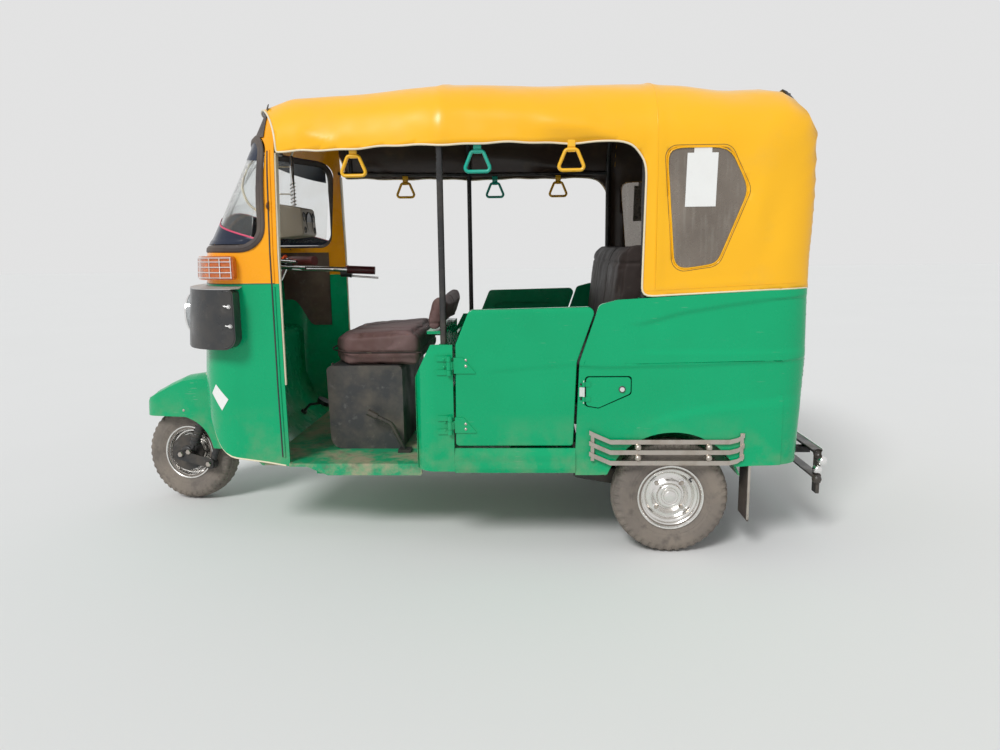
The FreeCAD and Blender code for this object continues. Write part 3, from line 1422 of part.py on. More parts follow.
def place_all():
    """Turn the steering to its parked angle and carry every piece to the vehicle's origin."""
    turn = FreeCAD.Rotation(AXIS_WAY, -mm.steer_rest)
    parked = FreeCAD.Placement(vec(0, 0, 0), turn, axis_spot(0))
    drop = lowest_of_wheel(parked)
    parked = FreeCAD.Placement(AXIS_WAY * (-drop / AXIS_WAY.z), FreeCAD.Rotation()).multiply(parked)
    low, high = [], []
    for label, thing, rides in kept:
        if rides == "steering":
            thing.Placement = parked.multiply(thing.Placement)
    doc.recompute()
    for label, thing, rides in kept:
        box = thing.Shape.optimalBoundingBox()
        low.append(box.XMin)
        high.append(box.XMax)
    shift = -(min(low) + max(high)) / 2
    for label, thing, rides in kept:
        thing.Placement = FreeCAD.Placement(vec(shift, 0, 0), FreeCAD.Rotation()).multiply(thing.Placement)
    doc.recompute()
    hub = parked.multVec(vec(0, 0, mm.tyre_radius)) + vec(shift, 0, 0)
    way = parked.Rotation.multVec(vec(0, 1, 0))
    head = axis_spot(mm.head_high) + vec(shift, 0, 0)
    print(f"front axle at X = {shift:.3f} mm, steering pieces raised {-drop:.3f} mm")
    print(f"steering axis through {tuple(head)} along {tuple(AXIS_WAY)}")
    print(f"front hub at {tuple(hub)}, turning about {tuple(way)}")


def write_all():
    for thing in doc.Objects:
        if "Invalid" in thing.State or "Error" in thing.State:
            raise ValueError(f"{thing.Label} failed: {thing.State}")
    os.makedirs("parts", exist_ok=True)
    for label, thing, _ in kept:
        shape = thing.Shape
        if shape.isNull() or not shape.isValid():
            raise ValueError(f"{label} has no valid shape")
        shape.exportStep(f"parts/{label}.step")
        print(f"{label}: {len(shape.Solids)} solids, {shape.Volume / 1e6:.2f} litres")


fill_sheet()
build_floor()
build_toe_board()
build_cowl()
build_windscreen()
build_lamps()
build_dash()
build_bulkhead()
build_door_hinges()
build_doors()
build_sills()
build_rear_body()
build_flap()
build_flap_hinge()
build_engine_door()
build_inner_tub()
build_hood()
build_roof_frame()
build_rear_visor()
build_seats()
build_controls()
build_grips()
build_chassis()
build_rear_axle()
build_engine()
build_guards()
build_bumper()
build_steering()
build_mudguard()
build_front_suspension()
build_wheels()
place_all()
write_all()
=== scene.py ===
import json
import math

import bmesh
import bpy
from mathutils import Matrix, Vector, noise
from mathutils.bvhtree import BVHTree


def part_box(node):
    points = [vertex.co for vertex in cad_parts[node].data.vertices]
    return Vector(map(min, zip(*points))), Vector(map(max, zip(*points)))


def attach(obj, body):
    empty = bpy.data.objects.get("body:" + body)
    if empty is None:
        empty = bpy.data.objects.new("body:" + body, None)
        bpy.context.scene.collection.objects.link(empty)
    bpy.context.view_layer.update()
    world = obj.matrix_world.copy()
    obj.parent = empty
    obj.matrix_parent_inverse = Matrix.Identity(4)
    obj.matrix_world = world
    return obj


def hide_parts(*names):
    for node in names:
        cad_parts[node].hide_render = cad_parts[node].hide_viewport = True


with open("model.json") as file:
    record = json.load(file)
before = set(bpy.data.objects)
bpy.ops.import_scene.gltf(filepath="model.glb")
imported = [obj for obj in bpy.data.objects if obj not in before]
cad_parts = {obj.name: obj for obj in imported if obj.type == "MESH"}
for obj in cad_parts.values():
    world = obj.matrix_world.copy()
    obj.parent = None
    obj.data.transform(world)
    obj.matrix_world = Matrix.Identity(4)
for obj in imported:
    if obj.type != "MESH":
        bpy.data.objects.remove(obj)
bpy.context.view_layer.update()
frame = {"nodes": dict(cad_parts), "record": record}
nodes = frame["nodes"]

WHEELBASE = 2000
REAR_LOW, REAR_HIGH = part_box("rear_left_rim")
AXLE = (REAR_LOW.x + REAR_HIGH.x) / 2 + WHEELBASE / 1000
TYRE_RADIUS = 207
TRACK_HALF = 575

# Steering as parked: turned to the right about the raked axis, then raised along it
STEER_RAKE = math.radians(26)
STEER_TURN = math.radians(-12)
STEER_RAISE = 2.818


def place(x, y, z):
    """Point in metres in the model's frame."""
    return Vector((AXLE + x / 1000, y / 1000, z / 1000))


def drawn(point):
    """Place of a point in the part's drawing, in millimetres."""
    return (point.x - AXLE) * 1000, point.y * 1000, point.z * 1000


def parked_steering():
    """How a steered piece drawn straight ahead is carried to where it is parked."""
    way = Vector((-math.sin(STEER_RAKE), 0, math.cos(STEER_RAKE)))
    spot = place(60, 0, 0)
    turn = Matrix.Translation(spot) @ Matrix.Rotation(STEER_TURN, 4, way) @ Matrix.Translation(-spot)
    return Matrix.Translation(way * (STEER_RAISE / 1000 / way.z)) @ turn


STEERED = parked_steering()
SIDES = ((1, "left"), (-1, "right"))

# Meshes


def added(name, data):
    """New object in the scene."""
    thing = bpy.data.objects.new(name, data)
    bpy.context.scene.collection.objects.link(thing)
    return thing


def finished(name, work, body, finish, angle=35):
    """Object from a bmesh: shaded smooth below an angle, given its material and its body."""
    thing = added(name, mesh_of(work, name))
    shade(thing, angle)
    thing.data.materials.append(finish)
    if body in ("steering", "front_wheel"):
        thing.data.transform(STEERED)
    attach(thing, body)
    return thing


def shade(thing, angle):
    """Smooth shading, with edges sharper than the angle kept sharp."""
    work = bmesh.new()
    work.from_mesh(thing.data)
    limit = math.radians(angle)
    for edge in work.edges:
        edge.smooth = len(edge.link_faces) != 2 or edge.calc_face_angle(0) < limit
    for face in work.faces:
        face.smooth = True
    work.to_mesh(thing.data)
    work.free()


def outward(work):
    """The same bmesh with every face turned to face outwards."""
    bmesh.ops.recalc_face_normals(work, faces=work.faces)
    return work


def mesh_of(work, name):
    """Mesh from a bmesh, which is freed."""
    mesh = bpy.data.meshes.new(name)
    work.to_mesh(mesh)
    work.free()
    return mesh


def bridge(work, rings, closed=False):
    """Faces between rings of vertices that follow each other, with a cap at each end of an open row."""
    sides = len(rings[0])
    pairs = list(zip(rings, rings[1:]))
    if closed:
        pairs.append((rings[-1], rings[0]))
    for first, second in pairs:
        for k in range(sides):
            work.faces.new((first[k], first[(k + 1) % sides], second[(k + 1) % sides], second[k]))
    if not closed:
        work.faces.new(rings[0])
        work.faces.new(list(reversed(rings[-1])))


def circle(centre, first, second, sides):
    """Row of new vertex places round a centre, from the two half axes of an ellipse."""
    turns = [2 * math.pi * k / sides for k in range(sides)]
    return [centre + first * math.cos(turn) + second * math.sin(turn) for turn in turns]


def tube_into(work, points, radius, sides=10, closed=False, flatten=1.0):
    """Round or flattened bar through points in metres, added to a bmesh."""
    count = len(points)
    rings = []
    side_way = None
    for i, point in enumerate(points):
        ahead = points[(i + 1) % count] if closed or i < count - 1 else point
        behind = points[i - 1] if closed or i > 0 else point
        way = (ahead - behind).normalized()
        if side_way is None:
            side_way = way.orthogonal().normalized()
            if abs(way.z) < 0.95:
                side_way = way.cross(Vector((0, 0, 1))).normalized()
        side_way = (side_way - way * side_way.dot(way)).normalized()
        up = way.cross(side_way)
        spots = circle(point, side_way * radius, up * radius * flatten, sides)
        rings.append([work.verts.new(spot) for spot in spots])
    bridge(work, rings, closed)


def smooth_path(points, steps=8, closed=False):
    """Catmull-Rom line through points in metres."""
    spots = [Vector(p) for p in points]
    count = len(spots)
    line = []
    for i in range(count if closed else count - 1):
        a = spots[i - 1] if closed or i > 0 else spots[i]
        b, c = spots[i], spots[(i + 1) % count]
        d = spots[(i + 2) % count] if closed or i < count - 2 else c
        for k in range(steps):
            t = k / steps
            line.append(0.5 * (2 * b + (c - a) * t + (2 * a - 5 * b + 4 * c - d) * t * t
                               + (3 * b - a - 3 * c + d) * t * t * t))
    if not closed:
        line.append(spots[-1])
    return line


def tube(name, line, radius, body, finish, sides=8, flatten=1.0):
    """Bar through points in metres, with its radius in millimetres."""
    work = bmesh.new()
    tube_into(work, line, radius / 1000, sides, flatten=flatten)
    finished(name, work, body, finish)


def bar(name, points, radius, body, finish, smooth=True, sides=12, flatten=1.0):
    """Bar, wire or piping through points in millimetres."""
    spots = [place(*p) for p in points]
    tube(name, smooth_path(spots) if smooth else spots, radius, body, finish, sides, flatten)


def turned_into(work, profile, centre, axis, sides=48):
    """Solid of revolution added to a bmesh. The profile is (along the axis, radius) in millimetres."""
    axis = Vector(axis).normalized()
    first = axis.orthogonal().normalized()
    if abs(axis.z) < 0.9:
        first = axis.cross(Vector((0, 0, 1))).normalized()
    second = axis.cross(first)
    rings = []
    for along, radius in profile:
        if radius <= 0.001:
            rings.append([work.verts.new(centre + axis * (along / 1000))])
            continue
        out = radius / 1000
        spots = circle(centre + axis * (along / 1000), first * out, second * out, sides)
        rings.append([work.verts.new(spot) for spot in spots])
    for low, high in zip(rings, rings[1:]):
        for k in range(sides):
            ahead = (k + 1) % sides
            if len(low) == 1 and len(high) == 1:
                continue
            if len(low) == 1:
                work.faces.new((low[0], high[ahead], high[k]))
            elif len(high) == 1:
                work.faces.new((low[k], low[ahead], high[0]))
            else:
                work.faces.new((low[k], low[ahead], high[ahead], high[k]))


def turned(name, profile, centre, axis, body, finish, sides):
    """Solid of revolution about an axis through a point in metres."""
    work = bmesh.new()
    turned_into(work, profile, centre, axis, sides)
    finished(name, outward(work), body, finish)


def slab_into(work, outline, plane, low, high, bevel, segments=2):
    """Plate over an outline in millimetres, with rounded edges. plane XZ has thickness along Y, and so on."""
    order = {"XZ": (0, 2, 1), "YZ": (1, 2, 0), "XY": (0, 1, 2)}[plane]

    def spot(a, b, c):
        coords = [0.0, 0.0, 0.0]
        coords[order[0]], coords[order[1]], coords[order[2]] = a, b, c
        return place(*coords)

    bottom = [work.verts.new(spot(a, b, low)) for a, b in outline]
    top = [work.verts.new(spot(a, b, high)) for a, b in outline]
    count = len(outline)
    faces = [work.faces.new(bottom), work.faces.new(list(reversed(top)))]
    for i in range(count):
        faces.append(work.faces.new((bottom[i], top[i], top[(i + 1) % count], bottom[(i + 1) % count])))
    bmesh.ops.recalc_face_normals(work, faces=faces)
    rims = [edge for face in faces[:2] for edge in face.edges]
    bmesh.ops.bevel(work, geom=rims, offset=bevel / 1000, segments=segments, profile=0.5, affect="EDGES")


def slab(name, outline, plane, low, high, body, finish, slot, bevel):
    """Plate over an outline in millimetres, as a piece of its own."""
    work = bmesh.new()
    slab_into(work, outline, plane, low, high, bevel)
    finished(name, work, body, finish)


def rounded(corners, steps=6):
    """Outline with rounded corners, from rows of (a, b, radius) or (a, b)."""
    count = len(corners)
    points = []
    for i, corner in enumerate(corners):
        spot = Vector(corner[:2])
        radius = corner[2] if len(corner) > 2 else 0
        before = (Vector(corners[i - 1][:2]) - spot).normalized()
        after = (Vector(corners[(i + 1) % count][:2]) - spot).normalized()
        if radius <= 0:
            points.append(tuple(spot))
            continue
        half_turn = before.angle(after) / 2
        reach = radius / math.tan(half_turn)
        centre = spot + (before + after).normalized() * (radius / math.sin(half_turn))
        start, end = spot + before * reach - centre, spot + after * reach - centre
        sweep = start.angle_signed(end)
        for k in range(steps + 1):
            turn = Matrix.Rotation(-sweep * k / steps, 2)
            points.append(tuple(centre + turn @ start))
    return points


def trapezoid(middle, low, high, half_low, half_high, radius, steps=6):
    """Rounded outline with a level foot and top, from its half widths there."""
    return rounded([(middle - half_low, low, radius), (middle + half_low, low, radius),
                    (middle + half_high, high, radius), (middle - half_high, high, radius)], steps)


def heads(name, spots, axis, radius, height, body, finish, sides=6):
    """Bolt heads, nuts or studs: short turned pieces at several spots in millimetres."""
    work = bmesh.new()
    profile = [(-0.5, 0), (-0.5, radius), (height * 0.7, radius), (height, radius * 0.8), (height, 0)]
    for spot in spots:
        turned_into(work, profile, place(*spot), axis, sides)
    finished(name, outward(work), body, finish, 40)


def ball(radius, steps):
    """Profile of a ball for turned pieces."""
    turns = [math.pi * k / steps for k in range(1, steps)]
    middle = [(-radius * math.cos(turn), radius * math.sin(turn)) for turn in turns]
    return [(-radius, 0), *middle, (radius, 0)]


def tree_of(*meshes):
    """Search tree over some meshes."""
    shell = bmesh.new()
    for mesh in meshes:
        shell.from_mesh(mesh)
    tree = BVHTree.FromBMesh(shell)
    shell.free()
    return tree


def skin_of(*names):
    """Search tree over the solids of some nodes."""
    return tree_of(*[nodes[name].data for name in names])


def sliced(work, cuts):
    """Cut a bmesh by planes, from rows of an axis and the places along it in metres."""
    for axis, places in cuts:
        normal = [int(i == axis) for i in range(3)]
        for value in places:
            bmesh.ops.bisect_plane(work, geom=work.verts[:] + work.edges[:] + work.faces[:],
                                   plane_co=Vector(normal) * value, plane_no=normal, dist=0.00002)
    bmesh.ops.triangulate(work, faces=[face for face in work.faces if len(face.verts) > 4])

# Materials


class Paint:
    """Material with its shader and short ways to add nodes."""

    def __init__(self, name, color, roughness=0.4, metallic=0.0):
        self.material = bpy.data.materials.new(name)
        self.material.use_nodes = True
        self.tree = self.material.node_tree
        self.shader = self.tree.nodes["Principled BSDF"]
        self.shader.inputs["Base Color"].default_value = (*color, 1)
        self.shader.inputs["Roughness"].default_value = roughness
        self.shader.inputs["Metallic"].default_value = metallic
        self.place = self.tree.nodes.new("ShaderNodeTexCoord").outputs["Object"]
        self.color = None

    def node(self, kind, **inputs):
        made = self.tree.nodes.new(kind)
        for key, value in inputs.items():
            made.inputs[key.replace("_", " ")].default_value = value
        return made

    def link(self, output, target):
        self.tree.links.new(output, target)

    def set(self, **inputs):
        for key, value in inputs.items():
            self.shader.inputs[key.replace("_", " ")].default_value = value
        return self

    def noise(self, scale, detail=4.0, roughness=0.6, stretch=None):
        """Cloudy pattern, drawn out or packed along X, Y and Z by a stretch."""
        source = self.place
        if stretch:
            mapping = self.node("ShaderNodeMapping", Scale=stretch)
            self.link(source, mapping.inputs["Vector"])
            source = mapping.outputs["Vector"]
        made = self.node("ShaderNodeTexNoise", Scale=scale, Detail=detail, Roughness=roughness)
        self.link(source, made.inputs["Vector"])
        return made.outputs["Fac"]

    def span(self, source, low, high, out_low=0.0, out_high=1.0):
        """A value that runs from one end to the other as its source goes from low to high."""
        made = self.node("ShaderNodeMapRange")
        made.inputs["From Min"].default_value = low
        made.inputs["From Max"].default_value = high
        made.inputs["To Min"].default_value = out_low
        made.inputs["To Max"].default_value = out_high
        self.link(source, made.inputs["Value"])
        return made.outputs["Result"]

    def math(self, kind, first, second):
        made = self.node("ShaderNodeMath")
        made.operation = kind
        for i, value in enumerate((first, second)):
            if isinstance(value, (int, float)):
                made.inputs[i].default_value = value
            else:
                self.link(value, made.inputs[i])
        return made.outputs[0]

    def height(self):
        """Height above the ground in metres."""
        made = self.node("ShaderNodeSeparateXYZ")
        self.link(self.place, made.inputs[0])
        return made.outputs["Z"]

    def tint(self, share, color):
        """Mix a colour in by a share that varies over the surface."""
        made = self.tree.nodes.new("ShaderNodeMix")
        made.data_type = "RGBA"
        if self.color is None:
            made.inputs["A"].default_value = self.shader.inputs["Base Color"].default_value
        else:
            self.link(self.color, made.inputs["A"])
        made.inputs["B"].default_value = (*color, 1)
        self.link(share, made.inputs["Factor"])
        self.color = made.outputs["Result"]
        self.link(self.color, self.shader.inputs["Base Color"])
        return self

    def rough(self, source, low, high):
        self.link(self.span(source, 0.3, 0.7, low, high), self.shader.inputs["Roughness"])
        return self

    def bump(self, source, strength, distance=0.001):
        made = self.node("ShaderNodeBump", Strength=strength, Distance=distance)
        normal = self.shader.inputs["Normal"]
        if normal.links:
            self.link(normal.links[0].from_socket, made.inputs["Normal"])
        self.link(source, made.inputs["Height"])
        self.link(made.outputs["Normal"], normal)
        return self


DUST = (0.40, 0.31, 0.21)
WORN = (0.10, 0.075, 0.05)


def body_paint(name, color, shade_color, dirt=0.5):
    """Glossy sheet-metal paint: slight orange peel, uneven fading, dust low down and fine scratches."""
    paint = Paint(name, color, 0.22)
    paint.set(Coat_Weight=0.16, Coat_Roughness=0.08, Specular_IOR_Level=0.22)
    paint.tint(paint.span(paint.noise(2.2, 3), 0.38, 0.75, 0, 0.45), shade_color)
    low = paint.span(paint.height(), 0.52, 0.24)
    patches = paint.span(paint.noise(9, 6), 0.42, 0.72)
    paint.tint(paint.math("MULTIPLY", paint.math("MULTIPLY", low, patches), dirt), DUST)
    scratches = paint.span(paint.noise(55, 2, 0.5, (0.25, 1, 4)), 0.70, 0.74, 0, 0.35)
    uneven = paint.span(paint.noise(3, 2), 0.5, 0.65)
    paint.tint(paint.math("MULTIPLY", scratches, uneven), (0.45, 0.50, 0.42))
    paint.rough(paint.noise(14, 5), 0.16, 0.34)
    paint.bump(paint.noise(120, 2), 0.04, 0.0006)
    paint.bump(paint.noise(5.5, 2), 0.25, 0.003)
    return paint.material


def plain_metal(name, color, roughness, wear=WORN, amount=0.35):
    """Bare or plated metal with fine streaks and dull patches."""
    paint = Paint(name, color, roughness, 1.0)
    paint.tint(paint.span(paint.noise(16, 6), 0.5, 0.75, 0, amount), wear)
    paint.rough(paint.noise(40, 4, 0.6, (1, 6, 1)), max(0.04, roughness - 0.1), roughness + 0.16)
    paint.bump(paint.noise(300, 3), 0.05, 0.0004)
    return paint.material


def dull_plastic(name, color, roughness=0.45, dirt=0.25, grain=420):
    """Moulded plastic with a fine grain and dust that settles in patches."""
    paint = Paint(name, color, roughness)
    paint.tint(paint.span(paint.noise(7, 6), 0.45, 0.8, 0, dirt), DUST)
    paint.tint(paint.span(paint.noise(38, 6), 0.6, 0.78, 0, dirt), (0.3, 0.28, 0.26))
    paint.rough(paint.noise(11, 4), roughness - 0.1, roughness + 0.15)
    paint.bump(paint.noise(grain, 2), 0.22, 0.0005)
    return paint.material


def coated_cloth(name, color, second, dirt=0.16):
    """Plasticised canopy cloth: satin skin over a fine weave, faded on the creases."""
    paint = Paint(name, color, 0.38)
    paint.set(Coat_Weight=0.32, Coat_Roughness=0.2, Specular_IOR_Level=0.3)
    paint.tint(paint.span(paint.noise(1.6, 3), 0.35, 0.7, 0, 0.55), second)
    paint.tint(paint.span(paint.noise(6, 6), 0.55, 0.85, 0, dirt), (0.55, 0.36, 0.12))
    for threads in ((260, 1, 1), (1, 260, 1), (1, 1, 260)):
        paint.bump(paint.noise(3, 1, 0.5, threads), 0.06, 0.0004)
    paint.bump(paint.noise(26, 4), 0.10, 0.0012)
    paint.rough(paint.noise(8, 4), 0.30, 0.48)
    return paint.material


def seat_vinyl(name, color, pale):
    """Leather-look vinyl: pebbled grain, rubbed and dusty on top."""
    paint = Paint(name, color, 0.42)
    paint.set(Specular_IOR_Level=0.2)
    paint.tint(paint.span(paint.noise(4.5, 5), 0.38, 0.72, 0, 0.75), pale)
    paint.tint(paint.span(paint.noise(30, 6), 0.6, 0.8, 0, 0.25), DUST)
    cells = paint.node("ShaderNodeTexVoronoi", Scale=420.0)
    paint.link(paint.place, cells.inputs["Vector"])
    paint.bump(cells.outputs["Distance"], 0.28, 0.0006)
    paint.bump(paint.noise(24, 3), 0.18, 0.002)
    paint.rough(paint.noise(9, 4), 0.48, 0.68)
    return paint.material


def tyre_rubber(name):
    """Rubber grey with road dust, darker where it is worn clean."""
    paint = Paint(name, (0.17, 0.145, 0.125), 0.8)
    paint.tint(paint.span(paint.noise(7, 6), 0.4, 0.7, 0, 0.6), (0.30, 0.25, 0.20))
    paint.tint(paint.span(paint.noise(26, 5), 0.52, 0.75, 0, 0.6), (0.07, 0.06, 0.055))
    paint.bump(paint.noise(150, 4), 0.25, 0.0008)
    return paint.material


def clear(name, color, roughness, share, tint=None):
    """Glass or clear sheet: mostly see-through, with a thin dusty film."""
    paint = Paint(name, color, roughness)
    paint.set(Transmission_Weight=share, IOR=1.2, Specular_IOR_Level=0.5)
    paint.tint(paint.span(paint.noise(5, 6), 0.42, 0.8, 0, 0.5), tint or (0.75, 0.72, 0.66))
    paint.rough(paint.noise(9, 5), roughness * 0.5, roughness + 0.1)
    return paint.material


def smoky_sheet(name):
    """Old clear sheet gone brown-grey: hazed, with rubbed vertical scratches."""
    paint = Paint(name, (0.33, 0.28, 0.235), 0.22)
    paint.set(Transmission_Weight=0.42, IOR=1.3, Specular_IOR_Level=0.4)
    paint.tint(paint.span(paint.noise(7, 5), 0.4, 0.75, 0, 0.55), (0.20, 0.165, 0.14))
    streaks = paint.span(paint.noise(30, 3, 0.6, (2.2, 2.2, 0.22)), 0.52, 0.66, 0, 0.35)
    paint.tint(streaks, (0.50, 0.46, 0.40))
    paint.rough(paint.noise(22, 5), 0.14, 0.42)
    paint.bump(paint.noise(60, 3, 0.6, (2, 2, 0.2)), 0.15, 0.0006)
    return paint.material


def lens(name, color, glow):
    """Moulded lamp lens with fine ribs."""
    paint = Paint(name, color, 0.12)
    paint.set(Transmission_Weight=0.55, IOR=1.45, Coat_Weight=0.6)
    paint.tint(paint.span(paint.noise(60, 2), 0.45, 0.6, 0, 0.3), glow)
    paint.bump(paint.noise(90, 1, 0.5, (1, 6, 0.4)), 0.25, 0.001)
    return paint.material


def dusty_floor(name):
    """Green floor sheet worn and covered with sandy dirt where feet tread."""
    paint = Paint(name, (0.0, 0.33, 0.135), 0.4)
    paint.set(Coat_Weight=0.2)
    paint.tint(paint.span(paint.noise(5.5, 6, 0.7), 0.42, 0.58, 0, 0.85), (0.42, 0.33, 0.22))
    paint.tint(paint.span(paint.noise(24, 6), 0.55, 0.7, 0, 0.55), (0.10, 0.085, 0.06))
    paint.rough(paint.noise(9, 5), 0.35, 0.75)
    paint.bump(paint.noise(90, 5), 0.4, 0.001)
    return paint.material


GREEN = body_paint("green_paint", (0.0, 0.385, 0.155), (0.0, 0.31, 0.115))
# Darker copy of the green paint for the seat deck and wheel houses: painted shade inside the tub, with dust
# as on the green paint
GREEN_PAINTED_SHADE = body_paint("green_painted_shade_paint", (0.0, 0.26, 0.10), (0.0, 0.20, 0.08), 0.8)
CAB_YELLOW = body_paint("cab_yellow_paint", (1.0, 0.40, 0.01), (0.93, 0.33, 0.005), 0.3)
HOOD_CLOTH = coated_cloth("hood_yellow_cloth", (0.97, 0.50, 0.006), (0.93, 0.43, 0.004))
LINING = coated_cloth("hood_dark_lining", (0.055, 0.035, 0.025), (0.085, 0.055, 0.04))
PIPING = dull_plastic("cream_piping", (0.82, 0.72, 0.52), 0.45, 0.35)
RUBBER = dull_plastic("screen_rubber", (0.058, 0.045, 0.042), 0.6, 0.25, 160)
BLACK = dull_plastic("black_plastic", (0.030, 0.031, 0.033), 0.32, 0.10)
BLACK_PAINT = dull_plastic("black_paint", (0.022, 0.022, 0.023), 0.34, 0.22, 90)
GREY_PLASTIC = dull_plastic("worn_grey_plastic", (0.040, 0.040, 0.042), 0.5, 0.3, 240)
PALE_PLASTIC = dull_plastic("beige_plastic", (0.33, 0.28, 0.21), 0.5, 0.4)
BOARD = dull_plastic("brown_board", (0.085, 0.048, 0.030), 0.6, 0.3, 120)
AMBER = lens("amber_lens", (0.85, 0.22, 0.02), (1.0, 0.45, 0.15))
RED_LENS = lens("red_lens", (0.55, 0.01, 0.01), (0.9, 0.08, 0.05))
CLEAR_LENS = lens("clear_lens", (0.80, 0.83, 0.84), (0.95, 0.97, 1.0))
GRIP_YELLOW = dull_plastic("yellow_plastic", (0.93, 0.50, 0.02), 0.3, 0.12)
GRIP_GREEN = dull_plastic("sea_green_plastic", (0.0, 0.42, 0.30), 0.3, 0.12)
MAROON = dull_plastic("maroon_rubber", (0.085, 0.008, 0.010), 0.38, 0.1)
ORANGE = dull_plastic("orange_red_plastic", (0.75, 0.085, 0.02), 0.35, 0.1)
VINYL = seat_vinyl("mauve_brown_vinyl", (0.135, 0.075, 0.068), (0.235, 0.165, 0.165))
DARK_VINYL = seat_vinyl("dark_brown_vinyl", (0.026, 0.018, 0.016), (0.05, 0.036, 0.032))
TYRE = tyre_rubber("dusty_tyre_rubber")
STEEL = plain_metal("brushed_steel", (0.52, 0.47, 0.42), 0.34, (0.26, 0.19, 0.13), 0.45)
RIM = plain_metal("polished_rim", (0.80, 0.78, 0.75), 0.18, (0.34, 0.30, 0.26), 0.30)
CHROME = plain_metal("chrome", (0.86, 0.85, 0.84), 0.08, (0.35, 0.30, 0.25), 0.15)
ALUMINIUM = plain_metal("dull_aluminium", (0.42, 0.42, 0.42), 0.5)
PALE_PLATE = dull_plastic("pale_plated_steel", (0.66, 0.68, 0.66), 0.35, 0.15)
RUST = plain_metal("rusty_steel", (0.22, 0.11, 0.06), 0.6, (0.10, 0.05, 0.03), 0.6)
PALE_SHEET = dull_plastic("pale_grey_sheet", (0.42, 0.43, 0.43), 0.45, 0.5)
GLASS = clear("screen_glass", (0.93, 0.95, 0.95), 0.02, 0.96)
SMOKY = smoky_sheet("smoky_sheet")
BLUE_BAND = clear("blue_dark_band", (0.035, 0.045, 0.075), 0.2, 0.25, (0.08, 0.08, 0.10))
PINK_LINE = dull_plastic("pink_line", (0.62, 0.05, 0.13), 0.4, 0.05)
WHITE = dull_plastic("blank_white_card", (0.83, 0.83, 0.81), 0.5, 0.08)
FLOOR_PAINT = dusty_floor("worn_floor_paint")

# Material of every node, with the nodes' names in one text
LOOKS = (
    (FLOOR_PAINT, "floor_pan"), (CAB_YELLOW, "cowl_upper"), (GLASS, "windscreen"), (CLEAR_LENS, "headlamps"),
    (AMBER, "indicators"), (PALE_PLASTIC, "dash_panel"), (PALE_PLATE, "flap_hinge"), (HOOD_CLOTH, "hood"),
    (SMOKY, "hood_windows"), (GREY_PLASTIC, "driver_seat_base"), (VINYL, "driver_seat"),
    (DARK_VINYL, "passenger_seat"), (GRIP_YELLOW, "hand_grips"), (ALUMINIUM, "engine_block"),
    (RED_LENS, "tail_lamps"), (CHROME, "handlebar"), (MAROON, "handlebar_grips"),
    (GREEN, "toe_board cowl_lower bulkhead door_hinges door_left door_right sills quarter_left"),
    (GREEN, "quarter_right tail_panel fuel_flap engine_door engine_door_hinges front_mudguard"),
    # The seat deck and wheel houses take the darker green copy, which is painted shade
    (GREEN_PAINTED_SHADE, "seat_deck wheel_houses"), (RUBBER, "windscreen_seal mud_flaps"),
    (BLACK, "lamp_housing rear_visor"), (STEEL, "side_guards"),
    (BLACK_PAINT, "roof_frame starter_lever brake_pedal rear_axle chassis_frame rear_bumper steering_stem"),
    (BLACK_PAINT, "front_suspension"),
    (RIM, "front_rim rear_left_rim rear_right_rim"), (TYRE, "front_tyre rear_left_tyre rear_right_tyre"),
)
for look, names in LOOKS:
    for name in names.split():
        nodes[name].data.materials.clear()
        nodes[name].data.materials.append(look)
        shade(nodes[name], 30)
# Pressed panels
# The folds, scoops and ledges of the sheet metal are pressed a few millimetres deep into their copies.


def smooth(low, high, value):
    """Share from 0 at low to 1 at high, eased at both ends. Low may be above high."""
    share = min(1.0, max(0.0, (value - low) / (high - low)))
    return share * share * (3 - 2 * share)


def along(points, x):
    """Height of a fold line at x, from rows of (x, z) that run backwards."""
    if x >= points[0][0]:
        return points[0][1]
    for (x0, z0), (x1, z1) in zip(points, points[1:]):
        if x >= x1:
            return z0 + (z1 - z0) * (x - x0) / (x1 - x0)
    return points[-1][1]


# Fold lines on the side, X from the front axle and height
SCOOP_TOP = [(-1888, 829), (-2015, 864), (-2173, 889), (-2303, 907), (-2450, 925)]
LEDGE = [(-1825, 724), (-2280, 722), (-2450, 726)]
GROOVE = [(-1660, 686), (-1750, 680), (-2074, 686), (-2340, 699), (-2450, 716)]
FLARE_TOP = [(-1894, 480), (-1970, 521), (-2078, 546), (-2185, 561), (-2303, 573), (-2450, 604)]
FLARE_LOW = [(-1895, 470), (-1971, 487), (-2079, 512), (-2187, 525), (-2294, 536), (-2343, 536), (-2391, 525),
             (-2450, 530)]


def quarter_relief(x, z):
    """Scoop under the upper fold, ledge over the groove, and the flare over the wheel."""
    level = 0.0
    top, ledge, groove = along(SCOOP_TOP, x), along(LEDGE, x), along(GROOVE, x)
    fade = smooth(-1820, -1930, x)
    rear = smooth(-2462, -2400, x)
    inside_scoop = smooth(top + 4, top - 7, z) * smooth(ledge - 2, ledge + 19, z)
    hollow = 0.55 + 0.45 * smooth(ledge + 60, top, z)
    level -= 7.0 * fade * inside_scoop * hollow * (0.35 + 0.65 * rear)
    below = smooth(groove + 5, groove - 6, z)
    flare_top, flare_low = along(FLARE_TOP, x), along(FLARE_LOW, x)
    flared = smooth(flare_top, flare_low, z) * smooth(-1850, -2000, x)
    level -= 6.0 * below * (1 - flared)
    return level + 3.8 * smooth(-2420, PLAIN_TO, x)


def door_relief(x, z):
    """Soft crease across the middle, edges rolled in at the top, and a shallow dish."""
    crease = along([(-1300, 662), (-1382, 668), (-1618, 687), (-1700, 693)], x)
    level = -2.4 * smooth(crease + 5, crease - 5, z) * smooth(-1300, -1420, x)
    level -= 3.0 * smooth(868, 886, z)
    level -= 0.8 * smooth(430, 404, z)
    dish = ((x + 1470) / 190) ** 2 + ((z - 560) / 130) ** 2
    return level - 1.2 * max(0.0, 1 - dish)


